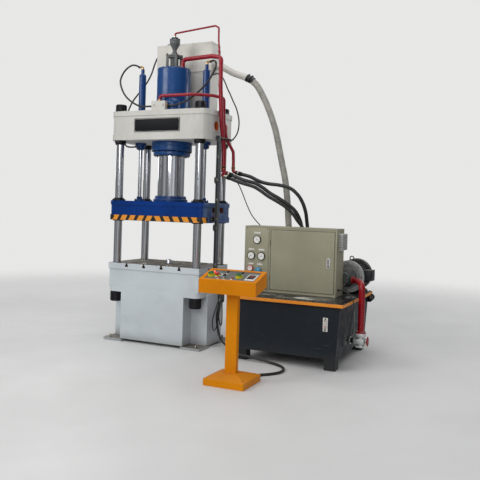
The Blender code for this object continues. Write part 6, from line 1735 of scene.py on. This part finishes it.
def make_motor():
    p = Piece("drive_motor")
    cx, cz = 2.094, 0.872
    m = Matrix.Translation((cx, 0, cz)) @ Matrix.Rotation(-math.pi / 2, 4, "X")      # local +Z runs along +Y
    flip = m
    # Frame with cooling fins.
    R = 0.1560
    p.lathe([(0, 0.5060), (R, 0.5060), (R, 0.8400), (0, 0.8400)], "motor_dark", 72, matrix=m)
    for k in range(44):
        a = 2 * math.pi * k / 44
        deg = math.degrees(a) % 360
        if 76 < deg < 104 and False:
            continue
        q = m @ Matrix.Rotation(a, 4, "Z")
        p.box(R - 0.002, -0.0024, 0.5160, 0.1815, 0.0024, 0.8340, "motor_dark", 0.0010, 1, matrix=q)
    # Drive-end shield: rim, web with ribs, bearing boss and through bolts.
    p.lathe([(0, 0.4640), (0.0500, 0.4640), (0.0560, 0.4670), (0.0600, 0.4780), (0.0720, 0.4830), (0.1200, 0.4860), (0.1360, 0.4750), (0.1420, 0.4650),
             (0.1790, 0.4650), (0.1850, 0.4700), (0.1850, 0.5080), (0.1800, 0.5130), (0, 0.5130)], "motor_light", 72, matrix=m, fillet=0.002)
    for k in range(8):
        q = m @ Matrix.Rotation(2 * math.pi * (k + 0.5) / 8, 4, "Z")
        p.box(0.0560, -0.0045, 0.4700, 0.1400, 0.0045, 0.4880, "motor_light", 0.002, matrix=q)
    for k in range(8):
        a = 2 * math.pi * k / 8
        p.bolt(m @ Vector((0.1620 * math.cos(a), 0.1620 * math.sin(a), 0.4650)), (0, -1, 0), 0.0088, 0.0075, "bolt_zinc")
    # Rear shield, fan cowl with slots, feet.
    p.lathe([(0, 0.8300), (0.1800, 0.8300), (0.1850, 0.8350), (0.1850, 0.8640), (0.1820, 0.8660), (0.1840, 0.8680), (0.1840, 0.9220), (0.1760, 0.9360),
             (0.1500, 0.9430), (0, 0.9430)], "motor_dark", 72, matrix=m, fillet=0.0015)
    for r in (0.045, 0.075, 0.105, 0.135):
        p.lathe([(r, 0.9420), (r + 0.0140, 0.9420), (r + 0.0130, 0.9452 - 0.0004), (r + 0.0010, 0.9452 - 0.0004)], "motor_dark", 48, matrix=m)
    for k in range(4):
        q = m @ Matrix.Rotation(2 * math.pi * (k + 0.5) / 4, 4, "Z")
        p.box(0.010, -0.0060, 0.9420, 0.1500, 0.0060, 0.9449, "motor_dark", 0.001, matrix=q)
    for sx in (-1, 1):
        x0, x1 = sorted((cx + sx * 0.0900, cx + sx * 0.1500))
        p.prism([(x0, 0.6846), (x1, 0.6846), (x1, 0.7020), (cx + sx * 0.1200, 0.7060), (cx + sx * 0.1000, 0.7600), (cx + sx * 0.0700, 0.7500), (x0 if sx > 0 else x1, 0.7000)],
                0.5620, 0.8380, "motor_dark", "Y", 0.002)
        for yy in (0.590, 0.810):
            p.bolt((cx + sx * 0.1330, yy, 0.7035), (0, 0, 1), 0.0105, 0.0100, "bolt_zinc")
    # Lifting eye on top.
    p.lathe([(0, 1.0480), (0.0230, 1.0480), (0.0230, 1.0570), (0.0140, 1.0600), (0, 1.0600)], "bolt_black", 28, at=(cx + 0.020, 0.560, 0))
    ring = [(cx + 0.020 + 0.0230 * math.cos(a), 0.560, 1.0790 + 0.0230 * math.sin(a)) for a in [k * math.pi / 12 for k in range(25)]]
    p.tube(ring, 0.0060, "bolt_black", 12, caps=False)
    # Terminal box on the right: lid, screws, gland.
    q = Matrix.Translation((2.2900, 0.650, 0.888)) @ Matrix.Rotation(math.radians(0), 4, "Y")
    p.box(-0.0600, -0.0690, -0.0610, 0.0480, 0.0690, 0.0610, "motor_dark", 0.006, 3, matrix=q)
    p.box(0.0480, -0.0700, -0.0620, 0.0600, 0.0700, 0.0620, "motor_dark", 0.004, 3, matrix=q)
    for yy in (-0.058, 0.058):
        for z in (-0.050, 0.050):
            p.bolt((2.3500, 0.650 + yy, 0.888 + z), (1, 0, 0), 0.0050, 0.0015, "bolt_zinc", "screw", False)
    fitting(p, (2.285, 0.650, 0.8270), (0, 0, -1), 0.0170, [("hex", 0.012, 1.0), ("round", 0.018, 0.85)], "black_plastic")
    # Placement for a rating plate, which is not drawn.
    q = m @ Matrix.Rotation(math.radians(52), 4, "Z")
    p.finish("motor")

    # Pump: housing, cover with screws, ports, and the bell housing on the motor.
    p = Piece("pump_set")
    p.lathe([(0, 0.2755), (0.0560, 0.2755), (0.0640, 0.2800), (0.0655, 0.2860), (0.0655, 0.3260), (0.0610, 0.3300), (0.0800, 0.3320), (0.0815, 0.3350), (0.0815, 0.3520),
             (0.0790, 0.3550), (0.0740, 0.3580), (0.0740, 0.3960), (0.0900, 0.4020), (0.1080, 0.4280), (0.1110, 0.4400), (0.1110, 0.4612), (0, 0.4612)], "pump_grey", 64,
            matrix=m, fillet=0.002)
    for k in range(6):
        a = 2 * math.pi * (k + 0.3) / 6
        p.bolt(m @ Vector((0.0480 * math.cos(a), 0.0480 * math.sin(a), 0.2790)), (0, -1, 0), 0.0072, 0.0070, "bolt_black", "socket", False)
    for k in range(4):
        a = 2 * math.pi * (k + 0.5) / 4
        p.bolt(m @ Vector((0.0960 * math.cos(a), 0.0960 * math.sin(a), 0.4440)), (0, -1, 0), 0.0082, 0.0080, "bolt_zinc")
        q = m @ Matrix.Rotation(a, 4, "Z")
        p.box(0.070, -0.0060, 0.4000, 0.1060, 0.0060, 0.4580, "pump_grey", 0.002, matrix=q)
    p.lathe([(0, 0), (0.0160, 0), (0.0160, 0.0150), (0.0120, 0.0190), (0, 0.0190)], "bolt_zinc", 6, matrix=m @ Matrix.Translation((0, 0.0640, 0.306)) @ Matrix.Rotation(-math.pi / 2, 4, "X"))
    p.finish("pump")

    # Delivery pipe from the pump to the valve block, bent steel with two nuts.
    p = Piece("delivery_pipe")
    route = bent([(2.020, 0.310, 0.872), (1.975, 0.310, 0.872), (1.930, 0.330, 0.840), (1.900, 0.385, 0.790), (1.8630, 0.400, 0.780)], 0.030)
    p.tube(route, 0.0130, "black_steel", 20)
    fitting(p, (2.0300, 0.310, 0.872), (-1, 0, 0), 0.0205, [("round", 0.008, 1.1), ("hex", 0.022, 1.0)], "bolt_zinc")
    fitting(p, (1.8603, 0.400, 0.780), (1, 0.02, 0.02), 0.0205, [("round", 0.006, 1.1), ("hex", 0.020, 1.0)], "bolt_zinc")
    p.finish()


def make_valves():
    p = Piece("suction_line")
    route = bent([(2.1765, 0.338, 0.8505), (2.215, 0.338, 0.8505), (2.362, 0.056, 0.8505), (2.362, 0.056, 0.3221)], 0.075, 6)
    p.tube(route, 0.0345, "suction_red", 40)
    p.lathe([(0.0343, 0.3221), (0.0515, 0.3221), (0.0520, 0.3235), (0.0520, 0.3400), (0.0505, 0.3415), (0.0343, 0.3415)], "suction_red", 48, at=(2.362, 0.056, 0))
    p.lathe([(0.0343, 0.3415), (0.0400, 0.3415), (0.0385, 0.3460), (0.0343, 0.3490)], "suction_red", 40, at=(2.362, 0.056, 0))
    for k in range(4):
        a = 2 * math.pi * (k + 0.5) / 4
        p.bolt((2.362 + 0.0440 * math.cos(a), 0.056 + 0.0440 * math.sin(a), 0.3415), (0, 0, 1), 0.0072, 0.0070, "bolt_zinc")
    fitting(p, (2.1768, 0.338, 0.8505), (1, 0, 0), 0.0430, [("round", 0.012, 1.0), ("round", 0.006, 0.9)], "suction_red")
    weld(p, route, 2, 0.0345, "suction_red")
    p.finish("suction_pipe")

    p = Piece("stop_valve_body")
    c = (2.362, 0.056)
    # Square flanges above and below a cast body, as on a ball valve, with its side port to the tank.
    p.prism(rounded(c[0] - 0.0500, c[1] - 0.0500, c[0] + 0.0500, c[1] + 0.0500, 0.012, 4), 0.2860, 0.3217, "valve_silver", "Z", 0.0018)
    p.lathe([(0, 0.1702), (0.0430, 0.1702), (0.0450, 0.1720), (0.0450, 0.1960), (0.0400, 0.2000), (0.0400, 0.2860), (0, 0.2860)], "valve_silver", 48, at=(*c, 0))
    p.box(2.2890, 0.0080, 0.2075, 2.4080, 0.1040, 0.2665, "valve_silver", 0.0070, 3)
    p.box(2.2960, 0.0050, 0.2150, 2.4020, 0.1070, 0.2590, "valve_silver", 0.0050, 3)
    p.prism(rounded(c[0] - 0.0460, c[1] - 0.0460, c[0] + 0.0460, c[1] + 0.0460, 0.012, 4), 0.1720, 0.1900, "valve_silver", "Z", 0.0018)
    for sx in (-1, 1):
        for sy in (-1, 1):
            p.bolt((c[0] + sx * 0.036, c[1] + sy * 0.036, 0.1900), (0, 0, 1), 0.0068, 0.0090, "bolt_zinc")
            p.bolt((c[0] + sx * 0.040, c[1] + sy * 0.040, 0.2860), (0, 0, -1), 0.0068, 0.0080, "bolt_zinc")
    p.lathe([(0, 2.2395), (0.0280, 2.2395), (0.0280, 2.2900), (0, 2.2900)], "black_steel", 36, axis="X", at=(0, 0.056, 0.237))
    p.lathe([(0.0275, 2.2445), (0.0420, 2.2445), (0.0420, 2.2560), (0.0275, 2.2560)], "valve_silver", 40, axis="X", at=(0, 0.056, 0.237))
    for k in range(4):
        a = 2 * math.pi * (k + 0.5) / 4
        p.bolt((2.2560, 0.056 + 0.0350 * math.cos(a), 0.237 + 0.0350 * math.sin(a)), (1, 0, 0), 0.0058, 0.0060, "bolt_zinc")
    p.lathe([(0, 2.4070), (0.0240, 2.4070), (0.0240, 2.4150), (0.0190, 2.4165), (0.0175, 2.4260), (0.0150, 2.4283), (0, 2.4283)], "bright_steel", 32, axis="X",
            at=(0, 0.056, 0.240))
    p.finish("stop_valve")

    p = Piece("stop_valve_grip", "stop_handle")
    p.lathe([(0, 2.4294), (0.0380, 2.4294), (0.0415, 2.4320), (0.0420, 2.4370), (0.0400, 2.4440), (0.0340, 2.4475), (0.0150, 2.4485), (0, 2.4485)], "suction_red", 48,
            axis="X", at=(0, 0.056, 0.240), fillet=0.0012)
    p.box(2.4344, 0.0450, 0.1890, 2.4458, 0.0670, 0.2910, "suction_red", 0.0040, 3)
    p.lathe([(0, 2.4480), (0.0080, 2.4480), (0.0080, 2.4490), (0, 2.4490)], "bolt_zinc", 6, axis="X", at=(0, 0.056, 0.240))
    p.finish("valve_handle")

    # Manifold with three cartridge towers, solenoid coils and port nuts.
    p = Piece("valve_manifold")
    p.box(1.4803, 0.3303, 0.6846, 1.8597, 0.4797, 0.8597, "cast_grey", 0.0035)
    for x0, x1, top, px, pz in ((1.510, 1.580, 0.960, 1.545, 0.9603), (1.630, 1.700, 0.990, 1.665, 0.9903), (1.760, 1.830, 0.960, 1.795, 0.9603)):
        p.prism(rounded(x0 + 0.0003, 0.3453, x1 - 0.0003, 0.4647, 0.008, 3), 0.8590, top - 0.0260, "cast_grey", "Z", 0.0015)
        p.prism(rounded(x0 + 0.0030, 0.3700, x1 - 0.0030, 0.4400, 0.008, 3), top - 0.0270, top - 0.0110, "black_steel", "Z", 0.0012)
        fitting(p, (px, 0.405, top - 0.0115), (0, 0, 1), 0.0310, [("hex", 0.0110, 1.0)], "bolt_zinc")
        for yy in (0.3560, 0.4540):
            for x in (x0 + 0.0130, x1 - 0.0130):
                p.bolt((x, yy, top - 0.0260), (0, 0, 1), 0.0060, 0.0060, "bolt_black", "socket", False)
    for x in (1.545, 1.665, 1.795):
        p.box(x - 0.0300, 0.4797, 0.7300, x + 0.0300, 0.5600, 0.7900, "black_plastic", 0.004, 3)
        p.lathe([(0, 0.5600), (0.0230, 0.5600), (0.0230, 0.6050), (0.0200, 0.6080), (0, 0.6080)], "black_steel", 32, axis="Y", at=(x, 0, 0.760))
        p.box(x - 0.0140, 0.5000, 0.7890, x + 0.0140, 0.5300, 0.8200, "panel_grey", 0.002)
    for x in (1.500, 1.600, 1.740, 1.840):
        p.bolt((x, 0.3303, 0.7050), (0, -1, 0), 0.0080, 0.0080, "bolt_black", "socket", False)
        p.bolt((x, 0.3303, 0.8400), (0, -1, 0), 0.0080, 0.0080, "bolt_black", "socket", False)
    p.finish("valve_block")


def make_cabinet_gear():
    """Mounting plate with rails, contactors and wiring ducts inside the cabinet."""
    p = Piece("cabinet_gear")
    back = 0.2400
    p.box(1.3600, back - 0.0030, 0.7400, 2.0450, back, 1.3650, "side_panel", 0.001)
    for x0, x1, z0, z1 in ((1.3700, 2.0350, 1.3250, 1.3600), (1.3700, 2.0350, 1.1050, 1.1400), (1.3700, 2.0350, 0.8900, 0.9250), (1.3700, 1.4050, 0.9250, 1.3250),
                           (2.0000, 2.0350, 0.9250, 1.3250)):
        p.box(x0, back - 0.0430, z0, x1, back - 0.0030, z1, "panel_grey", 0.002)
    for z, w, h, d, mat in ((1.2300, 0.045, 0.082, 0.085, "black_plastic"), (1.0150, 0.052, 0.090, 0.075, "white_plastic")):
        p.box(1.4200, back - 0.0120, z - 0.0170, 1.9850, back - 0.0030, z + 0.0170, "bolt_zinc", 0.001)
        for k in range(8):
            x = 1.4350 + k * 0.0680
            p.box(x, back - d, z - h / 2, x + w, back - 0.0100, z + h / 2, mat, 0.003, 3)
            p.box(x + 0.008, back - d - 0.0060, z - 0.018, x + w - 0.008, back - d + 0.001, z + 0.018, "panel_grey" if mat == "black_plastic" else "black_plastic", 0.0015)
            for dx in (0.010, w / 2, w - 0.010):
                for dz in (-h / 2 + 0.008, h / 2 - 0.008):
                    p.bolt((x + dx, back - d, z + dz), (0, -1, 0), 0.0028, 0.0012, "bolt_zinc", "screw", False)
    for k in range(26):
        x = 1.4200 + k * 0.0215
        p.box(x, back - 0.0480, 0.7850, x + 0.0190, back - 0.0050, 0.8350, "khaki" if k % 7 == 6 else "panel_grey", 0.0012)
    for k in range(8):
        x = 1.4550 + k * 0.0680
        p.tube([(x, back - 0.050, 1.1870), (x, back - 0.056, 1.1600), (x + 0.004, back - 0.046, 1.1380)], 0.0022, "wire_black", 8)
        p.tube([(x, back - 0.050, 0.9680), (x, back - 0.056, 0.9450), (x + 0.004, back - 0.046, 0.9230)], 0.0022, "button_red" if k % 3 == 0 else "wire_black", 8)
        p.tube([(x, back - 0.046, 0.8900), (x, back - 0.052, 0.8620), (x, back - 0.044, 0.8340)], 0.0022, "wire_black", 8)
    p.finish()


make_cabinet_trim()
make_cabinet_gear()
make_tank_trim()
make_motor()
make_valves()


# ----------------------------------------------------------------------------
# Control pedestal
# ----------------------------------------------------------------------------
SLOPE = math.atan2(0.080, 0.255)


def on_panel(x, y):
    z = 0.960 + (y + 1.5) * math.tan(SLOPE) - 0.005 / math.cos(SLOPE)
    return Matrix.Translation((x, y, z)) @ Matrix.Rotation(SLOPE, 4, "X")


def make_controls():
    p = Piece("console_trim")
    mid = on_panel(1.500, -1.3725)
    for u in (-0.2390, 0.2390):
        for v in (-0.0930, 0.0930):
            p.bolt(mid @ Vector((u, v, 0.0002)), mid.to_3x3() @ Vector((0, 0, 1)), 0.0046, 0.0024, "bolt_zinc", "screw", False)
    # Thin raised edge round the sunk panel, and the joints of the sheet at the corners.
    for a in ((-0.2475, -0.1015, -0.2445, 0.1015), (0.2445, -0.1015, 0.2475, 0.1015), (-0.2445, -0.1015, 0.2445, -0.0985), (-0.2445, 0.0985, 0.2445, 0.1015)):
        p.box(a[0], a[1], 0.0002, a[2], a[3], 0.0016, "panel_grey", 0.0005, matrix=mid)
    # Display in its pale frame.
    d = on_panel(1.690, -1.386)
    p.box(-0.0470, -0.0620, 0.0002, 0.0470, 0.0700, 0.0022, "label_white", 0.0008, matrix=d)
    p.box(-0.0360, -0.0330, 0.0020, 0.0330, 0.0560, 0.0042, "black_plastic", 0.0012, matrix=d)
    p.box(-0.0290, -0.0180, 0.0040, 0.0260, 0.0430, 0.0047, "display_red", 0.0004, matrix=d)
    for k, u in enumerate((-0.0200, -0.0060, 0.0080)):
        for v0, v1 in ((0.003, 0.012), (0.015, 0.024)):
            p.box(u, v0, 0.0046, u + 0.0016, v1, 0.0050, "button_red", 0, matrix=d)
            p.box(u + 0.0070, v0, 0.0046, u + 0.0086, v1, 0.0050, "button_red", 0, matrix=d)
        p.box(u, 0.0245, 0.0046, u + 0.0086, 0.0260, 0.0050, "button_red", 0, matrix=d)
        p.box(u, 0.0127, 0.0046, u + 0.0086, 0.0142, 0.0050, "button_red", 0, matrix=d)
    # Collars, escutcheons and blank legends round the controls.
    for x, y in ((1.290, -1.392), (1.574, -1.392)):
        p.lathe([(0.0256, 0.0002), (0.0345, 0.0002), (0.0345, 0.0040), (0.0325, 0.0050), (0.0320, 0.0118), (0.0305, 0.0124), (0.0256, 0.0124)], "palm_yellow", 40,
                matrix=on_panel(x, y))
    p.lathe([(0.0130, 0.0002), (0.0255, 0.0002), (0.0255, 0.0030), (0.0235, 0.0042), (0.0130, 0.0042)], "palm_yellow", 36, matrix=on_panel(1.348, -1.384))
    for x, y in ((1.386, -1.362), (1.386, -1.436), (1.449, -1.433), (1.519, -1.427)):
        p.lathe([(0.0119, 0.0002), (0.0158, 0.0002), (0.0158, 0.0030), (0.0146, 0.0044), (0.0119, 0.0044)], "bolt_zinc", 32, matrix=on_panel(x, y))
    for x, y in ((1.424, -1.310), (1.427, -1.388), (1.574, -1.314)):
        p.lathe([(0.0146, 0.0002), (0.0185, 0.0002), (0.0185, 0.0022), (0.0172, 0.0032), (0.0146, 0.0032)], "bolt_zinc", 32, matrix=on_panel(x, y))
    for x, y, off in ((1.386, -1.362, 0.025), (1.386, -1.436, 0.024), (1.449, -1.433, 0.024), (1.519, -1.427, 0.024), (1.424, -1.310, 0.028),
                      (1.427, -1.388, 0.026), (1.574, -1.314, 0.030), (1.348, -1.384, 0.036)):
        p.box(-0.0125, -off - 0.0060, 0.0002, 0.0125, -off + 0.0060, 0.0014, "label_white", 0.0004, matrix=on_panel(x, y))
    # Signal lamp.
    m = on_panel(1.292, -1.331)
    p.lathe([(0, 0.0002), (0.0150, 0.0002), (0.0150, 0.0040), (0.0135, 0.0055), (0, 0.0055)], "bolt_zinc", 28, matrix=m)
    p.lathe([(0, 0.0050), (0.0112, 0.0050), (0.0112, 0.0130), (0.0095, 0.0175), (0.0050, 0.0200), (0, 0.0205)], "lamp_red", 28, matrix=m)
    # Sheet-metal seam of the console, post weld, anchor bolts, cable gland.
    p.box(1.2152, -1.2453, 0.9020, 1.7848, -1.2440, 0.9060, "pedestal_yellow", 0.0005)
    p.tube([(1.4310, -1.3560, 0.1015), (1.5490, -1.3560, 0.1015), (1.5490, -1.2980, 0.1015), (1.4310, -1.2980, 0.1015), (1.4310, -1.3560, 0.1015)], 0.0032,
           "pedestal_yellow", 10, caps=False)
    for sx in (-1, 1):
        for y in (-1.478, -1.176):
            p.lathe([(0, 0.0640), (0.0150, 0.0640), (0.0150, 0.0668), (0, 0.0668)], "bolt_zinc", 28, at=(1.502 + sx * 0.168, y, 0))
            p.bolt((1.502 + sx * 0.168, y, 0.0668), (0, 0, 1), 0.0095, 0.0080, "bolt_zinc", "hex", False)
    fitting(p, (1.600, -1.1255, 0.034), (0, 1, 0), 0.0215, [("round", 0.003, 1.1), ("hex", 0.012, 1.0), ("round", 0.012, 0.85)], "black_plastic")
    p.finish()

    for side, x in (("left", 1.290), ("right", 1.574)):
        p = Piece(f"palm_head_{side}", f"palm_{side}")
        m = on_panel(x, -1.392)
        p.lathe([(0, -0.0036), (0.0238, -0.0036), (0.0238, 0.0184), (0.0285, 0.0190), (0.0298, 0.0205), (0.0298, 0.0262), (0, 0.0262)], "palm_yellow", 40, matrix=m)
        p.lathe([(0, 0.0260), (0.0299, 0.0260), (0.0299, 0.0298), (0.0278, 0.0324), (0.0215, 0.0348), (0.0120, 0.0361), (0, 0.0363)], "palm_green", 40, matrix=m)
        p.finish(f"palm_button_{side}")
    p = Piece("estop_head", "estop")
    p.lathe([(0, -0.0036), (0.0117, -0.0036), (0.0117, 0.0142), (0.0205, 0.0176), (0.0220, 0.0192), (0.0220, 0.0262), (0.0200, 0.0290), (0.0120, 0.0309), (0, 0.0313)],
            "button_red", 40, matrix=on_panel(1.348, -1.384))
    for k in range(3):
        q = on_panel(1.348, -1.384) @ Matrix.Rotation(2 * math.pi * k / 3, 4, "Z")
        p.box(0.0060, -0.0012, 0.0304, 0.0150, 0.0012, 0.0312, "label_white", 0.0002, matrix=q)
    p.finish("estop_button")
    for k, (x, y, mat) in enumerate(((1.386, -1.362, "white_plastic"), (1.386, -1.436, "button_red"), (1.449, -1.433, "black_plastic"), (1.519, -1.427, "button_red"))):
        p = Piece(f"push_cap_{k + 1}", f"push_{k + 1}")
        p.lathe([(0, -0.0036), (0.0107, -0.0036), (0.0109, 0.0066), (0.0098, 0.0080), (0.0080, 0.0083), (0.0070, 0.0079), (0, 0.0078)], mat, 32, matrix=on_panel(x, y))
        p.finish(f"push_button_{k + 1}")
    for k, (x, y) in enumerate(((1.424, -1.310), (1.427, -1.388), (1.574, -1.314))):
        p = Piece(f"selector_knob_{k + 1}", f"select_{k + 1}")
        m = on_panel(x, y)
        p.lathe([(0, 0.0004), (0.0138, 0.0004), (0.0140, 0.0012), (0.0136, 0.0096), (0.0122, 0.0103), (0, 0.0103)], "black_plastic", 36, matrix=m)
        p.box(-0.0042, -0.0138, 0.0095, 0.0042, 0.0138, 0.0203, "black_plastic", 0.0018, 3, matrix=m)
        p.box(-0.0007, 0.0040, 0.0200, 0.0007, 0.0130, 0.0206, "label_white", 0.0002, matrix=m)
        p.finish(f"selector_{k + 1}")


make_controls()
